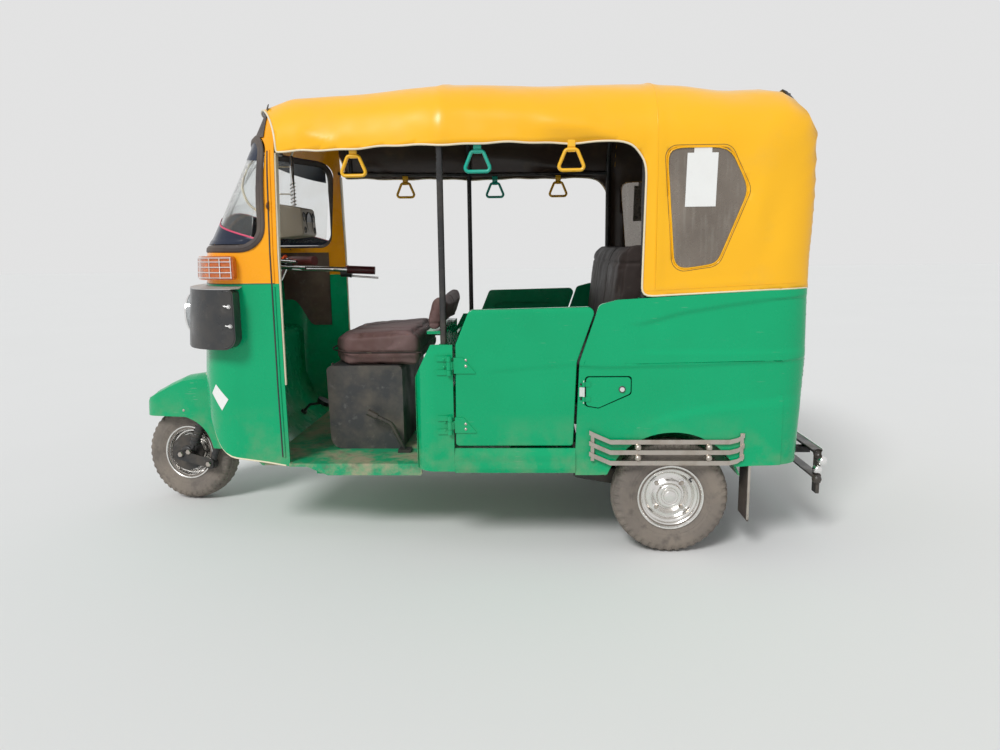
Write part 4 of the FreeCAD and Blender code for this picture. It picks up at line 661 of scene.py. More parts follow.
def pillar_relief(x, z):
    """Roll down the front edge, fold over the top hinge and pockets behind the hinges."""
    level = -9.0 * smooth(-1122, -1090, x)
    level -= 1.6 * smooth(-1150, -1132, x)
    fold = along([(-1150, 730), (-1181, 737), (-1242, 744)], x)
    level -= 2.0 * smooth(fold - 3, fold + 4, z) * smooth(-1140, -1180, x)
    for height in (690, 480):
        pocket = smooth(34, 26, abs(z - height)) * smooth(-1200, -1208, x)
        level -= 2.5 * pocket
    return level


def sill_relief(x, z):
    """Groove under the ledge of the sill and two butted joints."""
    level = -1.4 * smooth(350, 347, z) * smooth(339, 342, z)
    for joint in (-1306, -1570):
        level -= 1.8 * smooth(3.2, 1.4, abs(x - joint))
    return level - 2.0 * smooth(318, 304, z)


# Side of the tub at rest: height, half width
TUB_SIDE = [(290, 646), (700, 650), (990, 640)]
# Ahead of this the quarter panels are pressed from the plain side, whatever forms the solid has
PLAIN_TO = -2345
# Width and height of the grid that a panel is cut into
PRESS_STEP_X, PRESS_STEP_Z = 14, 7


def tub_side(z):
    """Half width of the tub at a height."""
    (z0, y0), (z1, y1) = TUB_SIDE[:2] if z < TUB_SIDE[1][0] else TUB_SIDE[1:]
    return y0 + (y1 - y0) * (z - z0) / (z1 - z0)


def squared(x, y):
    """How far the tail's corners stand back from the solid's, so that its sides run on to the rear."""
    return 56 * smooth(450, 610, abs(y)) * smooth(-2290, -2400, x)


def tail_relief(x, z):
    """The quarter panels' relief runs on round the tail, which laps in behind their rear edges."""
    return quarter_relief(x, z) - 3.0 * smooth(-2428, -2419, x)


def pressed(name, relief, plain=False):
    """Copy of a panel, cut into a fine grid and pushed in by the relief wherever it faces outwards."""
    work = bmesh.new()
    work.from_mesh(nodes[name].data)
    bmesh.ops.remove_doubles(work, verts=work.verts, dist=0.00001)
    bmesh.ops.dissolve_limit(work, angle_limit=math.radians(0.4), verts=work.verts, edges=work.edges)
    low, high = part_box(name)
    cuts = []
    for axis, step in ((0, PRESS_STEP_X), (2, PRESS_STEP_Z)):
        reach = high[axis] - low[axis]
        count = int(reach * 1000 / step)
        cuts.append((axis, [low[axis] + reach * i / (count + 1) for i in range(1, count + 1)]))
    sliced(work, cuts)
    work.normal_update()
    outer = {vert for face in work.faces for vert in face.verts
             if face.normal.y * math.copysign(1, face.calc_center_median().y) > 0.45}
    for vert in work.verts:
        x, y, z = drawn(vert.co)
        y = abs(y)
        vert.co.x -= squared(x, y) / 1000
        if y < 560 or vert not in outer:
            continue
        if plain:
            y = tub_side(z) + (y - tub_side(z)) * smooth(PLAIN_TO + 50, PLAIN_TO - 55, x)
        vert.co.y = math.copysign((y + relief(x, z) * smooth(560, 610, y)) / 1000, vert.co.y)
    panel = finished(name + "_pressed", work, body_of(name), GREEN, 38)
    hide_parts(name)


def body_of(name):
    """Body that carries a node."""
    for body, carried in frame["record"]["behaviour"]["bodies"].items():
        if name in carried:
            return body
    return "vehicle"


for _, name in SIDES:
    pressed(f"quarter_{name}", quarter_relief, plain=True)
    pressed(f"door_{name}", door_relief)
pressed("bulkhead", pillar_relief)
pressed("sills", sill_relief)
pressed("tail_panel", tail_relief)

# Hood
# One coated cloth over two bows, cut as the solid is and dressed with its sag, folds, seams and piping.

HOOD_EDGE = 1428
ROW_X = 17
FAN_ROWS = 26
FAN_COLUMNS = 190
FAN_PLACE = (-2120, 880)
HOOD_SOLID = skin_of("hood", "hood_windows")
FAR_OUT = -1000.0


def outline_distance(outline, a, b):
    """Distance in millimetres outside an outline, less than nothing inside it."""
    best = 1e9
    inside = False
    count = len(outline)
    for i in range(count):
        ax, ay = outline[i]
        bx, by = outline[(i + 1) % count]
        ex, ey = bx - ax, by - ay
        share = max(0.0, min(1.0, ((a - ax) * ex + (b - ay) * ey) / (ex * ex + ey * ey)))
        dx, dy = a - ax - ex * share, b - ay - ey * share
        best = min(best, dx * dx + dy * dy)
        if (ay > b) != (by > b) and a < ax + ex * (b - ay) / ey:
            inside = not inside
    return -math.sqrt(best) if inside else math.sqrt(best)


def cut_by(work, field):
    """Cut a mesh along the line where a field is nothing, and drop what has it positive."""
    value = {vert: field(vert.co) for vert in work.verts}
    fresh = []
    for edge in list(work.edges):
        first, second = edge.verts
        a, b = value[first], value[second]
        if (a > 0) == (b > 0) or a == b:
            continue
        share = a / (a - b)
        if share < 0.04 or share > 0.96:
            near = first if share < 0.5 else second
            if abs(value[near]) > 0:
                value[near] = 0.0
                fresh.append(near)
            continue
        _, vert = bmesh.utils.edge_split(edge, first, share)
        value[vert] = 0.0
        fresh.append(vert)
    bmesh.ops.connect_verts(work, verts=list(dict.fromkeys(fresh)))
    gone = [face for face in work.faces if sum(value.get(vert, 0.0) for vert in face.verts) > 0]
    bmesh.ops.delete(work, geom=gone, context="FACES")


def hood_grid():
    """Skin of the hood on a grid of rows from the front to the back's lower edge, read off the solid."""
    fan_x, fan_z = FAN_PLACE
    front, count = -400, int((-400 - fan_x) / ROW_X)
    starts = [(front + (fan_x - front) * i / count, 0.0) for i in range(count)]
    starts += [(fan_x, math.radians(96) * i / FAN_ROWS) for i in range(FAN_ROWS + 1)]
    grid = []
    for x, lean in starts:
        origin = place(x, 0, fan_z)
        row = []
        for k in range(FAN_COLUMNS + 1):
            turn = math.radians(-4 + 188 * k / FAN_COLUMNS)
            rise = math.sin(turn)
            way = Vector((-rise * math.sin(lean), math.cos(turn), rise * math.cos(lean)))
            hit = HOOD_SOLID.ray_cast(origin + way * 3, -way, 2.7)[0]
            row.append(((hit - origin).length if hit else None, origin, way))
        grid.append(row)
    return grid


def filled(grid):
    """Spread the known distances into the open parts of the grid."""
    reach = [[cell[0] for cell in row] for row in grid]
    known = [[value is not None for value in row] for row in reach]
    rows, columns = len(reach), len(reach[0])
    for i in range(rows):
        row = reach[i]
        hits = [k for k in range(columns) if row[k] is not None]
        middle = columns // 2
        for k in range(columns):
            if row[k] is None:
                near = min(hits, key=lambda other: abs(other - k)) if hits else None
                way, other = grid[i][k][2], grid[i][near][2] if near is not None else None
                side = abs(other.y * row[near]) if near is not None else 0.6
                steep = abs(way.y) > 0.35 and abs(k - middle) > columns * 0.18
                row[k] = side / abs(way.y) if steep else (row[near] if near is not None else 0.7)
    for _ in range(12):
        fresh = [row[:] for row in reach]
        for i in range(1, rows - 1):
            for k in range(1, columns - 1):
                if not known[i][k]:
                    fresh[i][k] = (reach[i - 1][k] + reach[i + 1][k] + reach[i][k - 1] + reach[i][k + 1]) / 4
        reach = fresh
    return reach


def ridge(distance, width):
    """Rounded bump: 1 in its middle, and next to nothing two widths away."""
    return math.exp(-(distance / width) ** 2)


# Soft folds of the side walls: from x, z to x, z, how wide and how deep in millimetres
FOLDS = [
    (-2310, 1490, -2250, 1150, 27, 6.5),
    (-2362, 1475, -2300, 1090, 24, -6.0),
    (-2200, 1470, -2170, 1340, 26, -3.0),
    (-1936, 948, -2290, 971, 9, 2.4),
    (-721, 1487, -826, 1441, 24, 7.0),
    (-690, 1560, -1150, 1470, 60, -5.0),
    (-1270, 1500, -1540, 1462, 36, -6.0),
]
FRONT_BOW, REAR_BOW = -1208, -1925


def fold_depth(x, z):
    """How far the cloth stands out or in on a side wall, by x and height."""
    depth = 0.0
    for ax, az, bx, bz, width, deep in FOLDS:
        ex, ez = bx - ax, bz - az
        share = ((x - ax) * ex + (z - az) * ez) / (ex * ex + ez * ez)
        fade = smooth(-0.25, 0.15, share) * smooth(1.25, 0.85, share)
        off = abs((x - ax) * ez - (z - az) * ex) / math.hypot(ex, ez)
        depth += deep * fade * ridge(off, width)
    return depth


def lumps(x, y, z, size):
    """Unevenness from -1 to 1, with lumps of about a size in millimetres."""
    return noise.noise(Vector((x / size, y / size, z / size)))


def hood_shape(point, normal):
    """Cloth moves: sag between the bows, ridges over them, brow over the opening, folds and unevenness."""
    x, y, z = drawn(point)
    top = smooth(0.35, 0.9, normal.z)
    side = smooth(0.5, 0.95, abs(normal.y))
    out = 0.0
    for bow in (FRONT_BOW, REAR_BOW):
        out += 4.0 * ridge(x - bow, 16) * (0.5 + 0.5 * top)
    span_front = ridge(x + 1550, 190)
    span_rear = ridge(x + 2190, 110)
    span_nose = ridge(x + 900, 150)
    out -= top * (6.0 * span_front + 12.0 * span_rear + 5.0 * span_nose)
    out += side * fold_depth(x, z)
    out += 2.2 * lumps(x, y, z, 230) + 0.9 * lumps(x, y, z, 70)
    valley = smooth(1480, 1390, z) * smooth(900, 1000, z)
    out += side * valley * (3.5 * ridge(x + 1928, 18) - 3.0 * ridge(x + 1899, 10))
    move = normal * (out / 1000)
    move.x -= squared(x, y) * (1 + 0.2 * smooth(1000, 1300, z)) * smooth(1572, 1480, z) / 1000
    brow = along([(-1400, 1480), (-1558, 1480), (-1704, 1460), (-1802, 1425), (-1900, 1391)], x)
    curl = smooth(brow + 6, brow - 55, z) * smooth(-1450, -1690, x) * smooth(-1898, -1852, x)
    move.y -= math.copysign(30.0 * curl * smooth(1310, 1385, z) / 1000, y)
    move.y += math.copysign(5.0 * side * ridge(z - brow - 14, 26) * smooth(-1500, -1650, x)
                            * smooth(-1900, -1800, x) / 1000, y)
    if x > -1890 and z < HOOD_EDGE + 40:
        sway = 2.5 * math.sin(x / 61) + 2.0 * math.sin(x / 23 + 1.0)
        move.z += sway * smooth(HOOD_EDGE + 40, HOOD_EDGE, z) * smooth(-640, -720, x) / 1000
    return move


SIDE_CUT = rounded([(-300, 1568), (-300, 1900), (-2700, 1900), (-2700, 962), (-2600, 952), (-1882, 920, 8),
                    (-1892, HOOD_EDGE, 105), (-585, HOOD_EDGE, 20), (-440, 1568)], 10)
SIDE_WINDOW = rounded([(-1954, 1404, 32), (-2160, 1404, 36), (-2226, 1268, 46), (-2130, 1026, 44),
                       (-1988, 1006, 36)], 8)
REAR_WINDOW = trapezoid(0, 1090, 1330, 300, 300, 40, 8)


def side_cut(point):
    """Distance outside the outline that the cloth has from the side."""
    x, _, z = drawn(point)
    return outline_distance(SIDE_CUT, x, z)


def front_cut(point):
    """Distance ahead of the hood's front edge, which runs round the screen in plan."""
    edge = -448 - 133 * (abs(point.y) / 0.45) ** 2.1
    return drawn(point)[0] - edge


def side_window(point):
    """Distance inside the outline of a side window, far outside it away from the sides."""
    x, y, z = drawn(point)
    return -outline_distance(SIDE_WINDOW, x, z) if abs(y) >= 550 else FAR_OUT


def rear_window(point):
    """Distance inside the outline of the rear window, far outside it away from the tail."""
    x, y, z = drawn(point)
    return -outline_distance(REAR_WINDOW, y, z) if x <= -2330 else FAR_OUT


def outside(field):
    """The same field turned over, to keep what it would drop."""
    def turned_over(point):
        return -field(point)
    return turned_over


def border_loops(work):
    """Open edges of a mesh, as closed rows of points."""
    ahead = {}
    for edge in work.edges:
        if edge.is_boundary:
            for vert in edge.verts:
                ahead.setdefault(vert, []).append(edge.other_vert(vert))
    loops, used = [], set()
    for start in ahead:
        if start in used:
            continue
        loop, vert, last = [], start, None
        while vert not in used:
            used.add(vert)
            loop.append(vert)
            following = [other for other in ahead[vert] if other is not last and other not in used]
            last = vert
            if not following:
                break
            vert = following[0]
        loops.append(loop)
    return sorted(loops, key=len, reverse=True)


def draw_back(work, most=0.004):
    """Bring points that a filled gap left off the solid back to it."""
    for vert in work.verts:
        spot, _, _, distance = HOOD_SOLID.find_nearest(vert.co)
        if distance > most:
            vert.co = spot


def hood_skin():
    """The hood's plain cloth: laid on the solid, cut to its outline and smoothed."""
    grid = hood_grid()
    reach = filled(grid)
    work = bmesh.new()
    rows = [[work.verts.new(cell[1] + cell[2] * reach[i][k]) for k, cell in enumerate(row)]
            for i, row in enumerate(grid)]
    for low, high in zip(rows, rows[1:]):
        for k in range(FAN_COLUMNS):
            work.faces.new((low[k], low[k + 1], high[k + 1], high[k]))
    outward(work)
    work.normal_update()
    middle = rows[10][FAN_COLUMNS // 2]
    if middle.normal.z < 0:
        bmesh.ops.reverse_faces(work, faces=work.faces)
    cut_by(work, side_cut)
    cut_by(work, front_cut)
    draw_back(work)
    for _ in range(2):
        inner = [vert for vert in work.verts if not vert.is_boundary]
        bmesh.ops.smooth_vert(work, verts=inner, factor=0.5, use_axis_x=True, use_axis_y=True,
                              use_axis_z=True)
    return work


def dressed(work):
    """Move every point of the cloth by the hood's shape."""
    work.normal_update()
    moves = [(vert, hood_shape(vert.co, vert.normal)) for vert in work.verts]
    for vert, move in moves:
        vert.co += move
    work.normal_update()


def hood_pieces():
    """The cloth with its windows cut out, the uncut cloth for their panes, the open edges and the area."""
    skin = hood_skin()
    panes = skin.copy()
    for field in (side_window, rear_window):
        cut_by(skin, field)
    dressed(skin)
    loops = border_loops(skin)
    area = sum(face.calc_area() for face in skin.faces)
    return skin, panes, loops, area


def hood_edge_bead(name, loop, radius, finish, sides=8, lift=0.0):
    """Bead along a closed row of cloth edge vertices."""
    work = bmesh.new()
    points = [vert.co + vert.normal * lift for vert in loop]
    for _ in range(2):
        count = len(points)
        points = [(points[i - 1] + points[i] * 2 + points[(i + 1) % count]) / 4 for i in range(count)]
    tube_into(work, points, radius, sides, closed=True)
    return finished(name, work, "vehicle", finish, 60)


def build_hood():
    """Cloth, clear sheets, piping and welts. Returns the cloth, its area and what is sewn to it."""
    skin, panes, loops, area = hood_pieces()
    piping = hood_edge_bead("hood_piping", loops[0], 0.0036, PIPING)
    borders = [hood_edge_bead(f"window_welt_{i}", loop, 0.0024, HOOD_CLOTH, 6, 0.0005)
               for i, loop in enumerate(loops[1:4])]
    for name, window in (("side", side_window), ("rear", rear_window)):
        pane = panes.copy()
        cut_by(pane, outside(window))
        dressed(pane)
        for vert in pane.verts:
            vert.co -= vert.normal * 0.0015
        sheet = finished(f"{name}_clear_sheet", pane, "vehicle", SMOKY, 60)
        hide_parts("hood_windows")
    panes.free()
    cloth = finished("hood_cloth", skin, "vehicle", HOOD_CLOTH, 60)
    cloth.data.materials.append(LINING)
    thick = cloth.modifiers.new("thickness", "SOLIDIFY")
    thick.thickness = 0.003
    thick.offset = -1
    thick.material_offset = 1
    apply_modifiers(cloth)
    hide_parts("hood")
    return cloth, area, [piping, *borders]


def apply_modifiers(thing):
    depsgraph = bpy.context.evaluated_depsgraph_get()
    mesh = bpy.data.meshes.new_from_object(thing.evaluated_get(depsgraph))
    thing.modifiers.clear()
    thing.data = mesh


def cloth_lines(cloth):
    """Sewn lines that lie on the cloth: the stitching round the windows, the hem and the bow's seam."""
    tree = tree_of(cloth.data)
    lines = []

    def on_side(x, z, side, lift):
        spot = tree.ray_cast(place(x, side * 1500, z), Vector((0, -side, 0)), 1.4)[0]
        return None if spot is None else spot + Vector((0, side * lift / 1000, 0))

    def line(name, spots, radius, finish, closed=False):
        spots = [spot for spot in spots if spot is not None]
        work = bmesh.new()
        tube_into(work, spots, radius / 1000, 6, closed)
        lines.append(finished(name, work, "vehicle", finish, 60))

    grown = grown_outline(SIDE_WINDOW, 7)
    for side, name in SIDES:
        line(f"window_stitch_{name}", [on_side(x, z, side, 0.2) for x, z in grown], 0.9, BOARD, True)
        hem = [on_side(x, 940 + (-1895 - x) * 0.045, side, 0.0) for x in range(-1895, -2400, -12)]
        line(f"hem_stitch_{name}", hem, 1.3, HOOD_CLOTH)
    seam = []
    for k in range(61):
        turn = math.radians(6 + 168 * k / 60)
        way = Vector((0, math.cos(turn), math.sin(turn)))
        origin = place(REAR_BOW, 0, 880)
        seam.append(tree.ray_cast(origin + way * 2, -way, 1.6)[0])
    line("rear_bow_seam", seam, 2.2, HOOD_CLOTH)
    return lines


def grown_outline(outline, margin):
    """Outline moved outwards by a margin, point by point."""
    grown = []
    count = len(outline)
    middle = Vector((sum(a for a, _ in outline) / count, sum(b for _, b in outline) / count))
    for i in range(count):
        before, after = Vector(outline[i - 1]), Vector(outline[(i + 1) % count])
        way = after - before
        out = Vector((way.y, -way.x)).normalized()
        spot = Vector(outline[i])
        if out.dot(spot - middle) < 0:
            out = -out
        grown.append(tuple(spot + out * margin))
    return grown


CLOTH, CLOTH_AREA, CLOTH_TRIM = build_hood()
CLOTH_TRIM += cloth_lines(CLOTH)

# Wheels

# Half of the tyre's section from the crown to the bead: Y from the middle, radius
TYRE_HALF = [(0, 206.6), (3, 206.6), (6, 206.5), (9, 206.4), (12, 206.2), (15, 206), (18, 205.7),
             (21, 205.4), (24, 205), (26.5, 204.5), (28, 204.2), (29.5, 203.8), (31.5, 203.2),
             (34, 202.4), (37, 201.2), (40, 199.6), (43, 197.4), (46, 194.4), (48.6, 190.6),
             (50.4, 186.6), (51.6, 182.4), (52.6, 177), (53.2, 170), (53.3, 163), (52.8, 156),
             (52.0, 152), (52.4, 150), (51.0, 144), (49, 139), (49.4, 137), (47.2, 131), (45.2, 126),
             (43.6, 121), (42.9, 112), (42.9, 103)]
BLOCKS = 42
STEPS_A_BLOCK = 6

# Rim section from the hub cap out over the flange and back along the inside: Y, radius
RIM_FACE = [(41.0, 0), (40.8, 9), (39.5, 16), (37, 20.5), (34, 22), (30, 22.6), (29.2, 25), (30, 29),
            (32.5, 31), (34, 34), (34, 40), (32, 43), (28, 44.6), (22.5, 46), (21.5, 49), (19.5, 53),
            (15, 58.5), (10.5, 66), (8.3, 74), (8.8, 80), (12, 84), (19, 87), (24.5, 89.5), (26.5, 93),
            (27.5, 97), (31, 98.2), (37, 99.2), (39.5, 102), (40.8, 106), (43.8, 109), (46.6, 111),
            (47.9, 114), (47.6, 116.6), (45.8, 117.9), (43.6, 117.4), (42.6, 114), (42.6, 104)]
RIM_BACK = [(-42.6, 104), (-42.6, 114), (-43.6, 117.4), (-45.8, 117.9), (-47.6, 116.6), (-47.9, 114),
            (-46.6, 111), (-43.8, 109), (-40.6, 106.5), (-39.2, 102), (-37, 100), (-24, 98.6),
            (-22.4, 96.5), (-21.8, 92), (-19, 90.4), (-6, 89), (-4.4, 86), (-3.6, 80), (-1, 76),
            (4, 66), (10, 54), (12, 48), (6, 44), (-12, 41), (-26, 36), (-29.5, 30), (-29.8, 0)]


def tread_depth(y, turn):
    """How deep the tread is cut, by the distance from the tyre's middle and the turn in blocks."""
    share = turn - math.floor(turn)
    wave = abs(2 * share - 1)
    depth = 3.8 * ridge(abs(y) - 28, 1.7)
    depth = max(depth, 3.2 * ridge(abs(y) - 8 - 5 * wave, 1.8))
    across = share if y > 0 else (share + 0.5) % 1.0
    if abs(y) > 29:
        depth = max(depth, 4.2 * smooth(0.34, 0.22, abs(across - 0.5)) * smooth(53.2, 51.0, abs(y)))
    elif abs(y) > 13:
        depth = max(depth, 2.2 * smooth(0.18, 0.06, abs(across - 0.5)))
    return depth


def tyre(name, x, y, body):
    """Tyre with a worn block tread, sidewall steps and beads."""
    section = [(-a, radius) for a, radius in TYRE_HALF[:0:-1]] + TYRE_HALF
    steps = BLOCKS * STEPS_A_BLOCK
    work = bmesh.new()
    rings = []
    for k in range(steps):
        turn = 2 * math.pi * k / steps
        ring = []
        for a, radius in section:
            cut = tread_depth(a, k / STEPS_A_BLOCK) if radius > 178 else 0.0
            wear = 0.35 * noise.noise(Vector((a / 14, math.cos(turn) * 9, math.sin(turn) * 9)))
            inward = min(1.0, max(0.0, (abs(a) - 34) / 18))
            deep = cut + (wear if radius > 190 else 0.0)
            out = radius - deep * (1 - 0.7 * inward)
            across = math.copysign(abs(a) - deep * 0.8 * inward, a)
            spot = place(x + out * math.sin(turn), y + across, TYRE_RADIUS + out * math.cos(turn))
            ring.append(work.verts.new(spot))
        rings.append(ring)
    bridge(work, rings, closed=True)
    made = finished(name, outward(work), body, TYRE, 28)
    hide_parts(name)


def rim(name, x, y, side, body):
    """Polished pressed rim with stepped flanges, a dished disc, hub ring, cap, nuts and valve."""
    work = bmesh.new()
    profile = [(side * a, radius) for a, radius in RIM_FACE + RIM_BACK]
    turned_into(work, profile, place(x, y, TYRE_RADIUS), (0, 1, 0), 96)
    made = finished(name, outward(work), body, RIM, 24)
    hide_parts(name)
    spots = []
    for k in range(4):
        turn = math.radians(45 + 90 * k)
        spots.append((x + 64 * math.cos(turn), y + side * 11, TYRE_RADIUS + 64 * math.sin(turn)))
    heads(name + "_nuts", spots, (0, side, 0), 8.5, 11, body, STEEL)
    heads(name + "_washers", spots, (0, side, 0), 12.5, 3, body, CHROME, 20)
    valve = [(-6, 0), (-6, 4), (2, 4), (4, 3), (16, 3), (17, 3.6), (24, 3.6), (25, 0)]
    turned(name + "_valve", valve, place(x - 70, y + side * 25, TYRE_RADIUS + 60), (0, side, 0), body, BLACK,
           12)


WHEELS = [("front", 0, 0, -1, "front_wheel"), ("rear_left", -WHEELBASE, TRACK_HALF, 1, "rear_left_wheel"),
          ("rear_right", -WHEELBASE, -TRACK_HALF, -1, "rear_right_wheel")]
for name, x, y, side, body in WHEELS:
    tyre(name + "_tyre", x, y, body)
    rim(name + "_rim", x, y, side, body)


def front_leg():
    """Coil over the front damper, pivot bolts and the hub nut."""
    low, high = Vector((-50, 79, 251)), Vector((-111, 79, 396))
    way = (high - low).normalized()
    first = way.cross(Vector((0, 1, 0))).normalized()
    second = way.cross(first)
    turns, steps = 9, 16
    coil = []
    for k in range(turns * steps + 1):
        turn = 2 * math.pi * k / steps
        spot = low + (high - low) * (k / (turns * steps))
        coil.append(spot + (first * math.cos(turn) + second * math.sin(turn)) * 19.5)
    bar("front_spring_coil", coil, 3.2, "steering", BLACK, smooth=False, sides=8)
    heads("front_link_bolts", [(0, 102, TYRE_RADIUS), (-135, 101, 170), (-36, 97, 218)], (0, 1, 0), 13, 10,
          "steering", STEEL)
    turned("front_hub_cap", [(-2, 0), (-2, 34), (3, 34), (6, 30), (12, 28), (14, 24), (14, 0)],
           place(0, 56, TYRE_RADIUS), (0, 1, 0), "steering", BLACK, 32)


front_leg()

# Seats
# Each cushion is swelled from its solid by a short cloth simulation, then given its seams.


def solid_part(name, keep):
    """Mesh of the part of a node whose points pass a test, in millimetres from the front axle."""
    work = bmesh.new()
    work.from_mesh(nodes[name].data)
    bmesh.ops.remove_doubles(work, verts=work.verts, dist=0.00001)
    gone = [vert for vert in work.verts if not keep(*drawn(vert.co))]
    bmesh.ops.delete(work, geom=gone, context="VERTS")
    return work


# name, node, points kept, voxel in m, shrink in mm, cap on the swelling in mm, height that it rests on
CUSHIONS = [
    ("driver_cushion", "driver_seat", lambda x, y, z: x > -1092, 0.0075, 7, 14, 636.6),
    ("driver_back_pad", "driver_seat", lambda x, y, z: x < -1092, 0.0075, 6, 10, None),
    ("passenger_cushion", "passenger_seat", lambda x, y, z: z < 680 and x > -1900, 0.010, 8, 15, 545.6),
    ("passenger_back_pad", "passenger_seat", lambda x, y, z: z > 660, 0.010, 8, 15, None),
]


LAST_FRAME = 20


def limp(name, node, keep, voxel, shrink):
    """Remeshed, slightly smaller copy of a cushion's solid, ready to be swelled."""
    work = solid_part(node, keep)
    lows = [min(v.co[i] for v in work.verts) for i in range(3)]
    highs = [max(v.co[i] for v in work.verts) for i in range(3)]
    for vert in work.verts:
        for i in range(3):
            middle, half = (lows[i] + highs[i]) / 2, (highs[i] - lows[i]) / 2
            vert.co[i] = middle + (vert.co[i] - middle) * (half - shrink / 1000) / half
    thing = added(name, mesh_of(work, name))
    remesh = thing.modifiers.new("remesh", "REMESH")
    remesh.mode = "VOXEL"
    remesh.voxel_size = voxel
    apply_modifiers(thing)
    return thing


def add_pressure(thing):
    """Vinyl that is blown up a little, as foam would fill it."""
    cloth = thing.modifiers.new("cloth", "CLOTH")
    cloth.settings.quality = 5
    cloth.settings.mass = 0.3
    cloth.settings.use_pressure = True
    cloth.settings.uniform_pressure_force = 4.0
    cloth.settings.effector_weights.gravity = 0.0
    cloth.settings.tension_stiffness = 12
    cloth.settings.compression_stiffness = 12
    cloth.settings.bending_stiffness = 0.6
    cloth.point_cache.frame_start = 1
    cloth.point_cache.frame_end = LAST_FRAME


def settle(thing, start, cap, rest):
    """Cap how far each point moved, and keep the underside flat where it rests."""
    for vert, before in zip(thing.data.vertices, start):
        move = vert.co - before
        if move.length > cap / 1000:
            vert.co = before + move.normalized() * (cap / 1000)
        if rest is not None:
            vert.co.z = max(vert.co.z, rest / 1000)


def swelled(cushions):
    """The cushions after a short simulation."""
    things = [limp(*row[:5]) for row in cushions]
    starts = [[vert.co.copy() for vert in thing.data.vertices] for thing in things]
    for thing in things:
        add_pressure(thing)
    for step in range(1, LAST_FRAME + 1):
        bpy.context.scene.frame_set(step)
    for thing in things:
        apply_modifiers(thing)
    bpy.context.scene.frame_set(1)
    for thing, start, (*_, cap, rest) in zip(things, starts, cushions):
        settle(thing, start, cap, rest)
        smoother = thing.modifiers.new("subdivision", "SUBSURF")
        smoother.levels = 1
        apply_modifiers(thing)
    return things


def stitched(thing, lines):
    """Sewn lines: each is a test of distance in millimetres from x, y, z, a width and a depth."""
    mesh = thing.data
    normals = [vert.normal.copy() for vert in mesh.vertices]
    for vert, normal in zip(mesh.vertices, normals):
        x, y, z = drawn(vert.co)
        depth = 0.0
        for distance, width, deep in lines:
            off = distance(x, y, z, normal)
            if off is not None:
                depth = max(depth, deep * ridge(off, width))
        uneven = 1.6 * lumps(x, y, z, 60) + 0.7 * lumps(x, y, z, 22)
        vert.co += normal * ((uneven - depth) / 1000)


def level_seam(height, lean=0.0):
    """Seam round a cushion at one height."""
    def distance(x, y, z, normal):
        return z - height - lean * x if abs(normal.z) < 0.8 else None
    return distance


def top_seam(a, b, least=0.3):
    """Seam over a cushion's top between two places in plan."""
    (ax, ay), (bx, by) = a, b

    def distance(x, y, z, normal):
        if normal.z < least:
            return None
        return ((x - ax) * (by - ay) - (y - ay) * (bx - ax)) / math.hypot(bx - ax, by - ay)
    return distance


def across_seam(y_place):
    """Seam from front to back, or from foot to top, at one place across the vehicle."""
    def distance(x, y, z, normal):
        return y - y_place
    return distance


def build_seats():
    """The four cushions with their seams."""
    driver, driver_back, bench, bench_back = swelled(CUSHIONS)
    stitched(driver, [(level_seam(688), 4.0, 5.0), (top_seam((-700, 40), (-1080, 190)), 4.5, 4.0),
                      (top_seam((-700, -40), (-1080, -190)), 4.5, 4.0), (level_seam(742, -0.02), 5.0, 2.5)])
    stitched(driver_back, [(across_seam(0), 4.5, 4.0), (level_seam(800), 4.0, 3.0)])
    stitched(bench, [(level_seam(600), 4.0, 5.0), (across_seam(-200), 5.0, 4.0),
                     (across_seam(200), 5.0, 4.0)])
    stitched(bench_back, [(across_seam(-200), 5.0, 4.5), (across_seam(200), 5.0, 4.5),
                          (level_seam(1030), 5.0, 4.0)])
    rows = ((driver, VINYL, 0.85, "driver_seat"), (driver_back, VINYL, 0.8, "driver_seat"),
            (bench, DARK_VINYL, 0.85, "passenger_seat"), (bench_back, DARK_VINYL, 0.8, "passenger_seat"))
    for thing, finish, fill, node in rows:
        shade(thing, 60)
        thing.data.materials.clear()
        thing.data.materials.append(finish)
        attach(thing, "vehicle")
        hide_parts(node)


def seat_trim():
    """Piping along the cushions' front edges, and two hasps under the driver's cushion."""
    front = [(-1082, 309, 689), (-900, 309, 689), (-790, 304, 689), (-735, 240, 689), (-693, 160, 689),
             (-690, 0, 689)]
    line = front + [(x, -y, z) for x, y, z in front[-2::-1]]
    bar("driver_cushion_piping", line, 3.0, "vehicle", DARK_VINYL, sides=8)
    bench = [(-1412, y, 600) for y in (-598, -400, -200, 0, 200, 400, 598)]
    bar("bench_piping", bench, 3.0, "vehicle", VINYL, sides=8)
    for side, name in SIDES:
        slab(f"seat_hasp_{name}", trapezoid(side * 200, 600, 634, 14, 14, 3), "YZ", -699, -696, "vehicle",
             STEEL, "grey_plastic", 1)


build_seats()
seat_trim()

# Cab: screen, bands, edges and fittings
# Pieces on the curved cab are laid on its skin, found by rays from the front or from the side.

CAB_MIDDLE = -620


def landed(tree, origin, way, reach, lift):
    """Where a ray meets a skin, raised by a lift in millimetres, and the way the skin faces there."""
    spot, normal = tree.ray_cast(origin, way, reach)[:2]
    if spot is None:
        return None
    if normal.dot(way) > 0:
        normal = -normal
    return spot + normal * (lift / 1000), normal


def from_side(tree, x, z, lift=0.0, side=1):
    """Point over the skin at x and z as seen from one side, and the way the skin faces."""
    return landed(tree, place(x, side * 1500, z), Vector((0, -side, 0)), 1.5, lift)


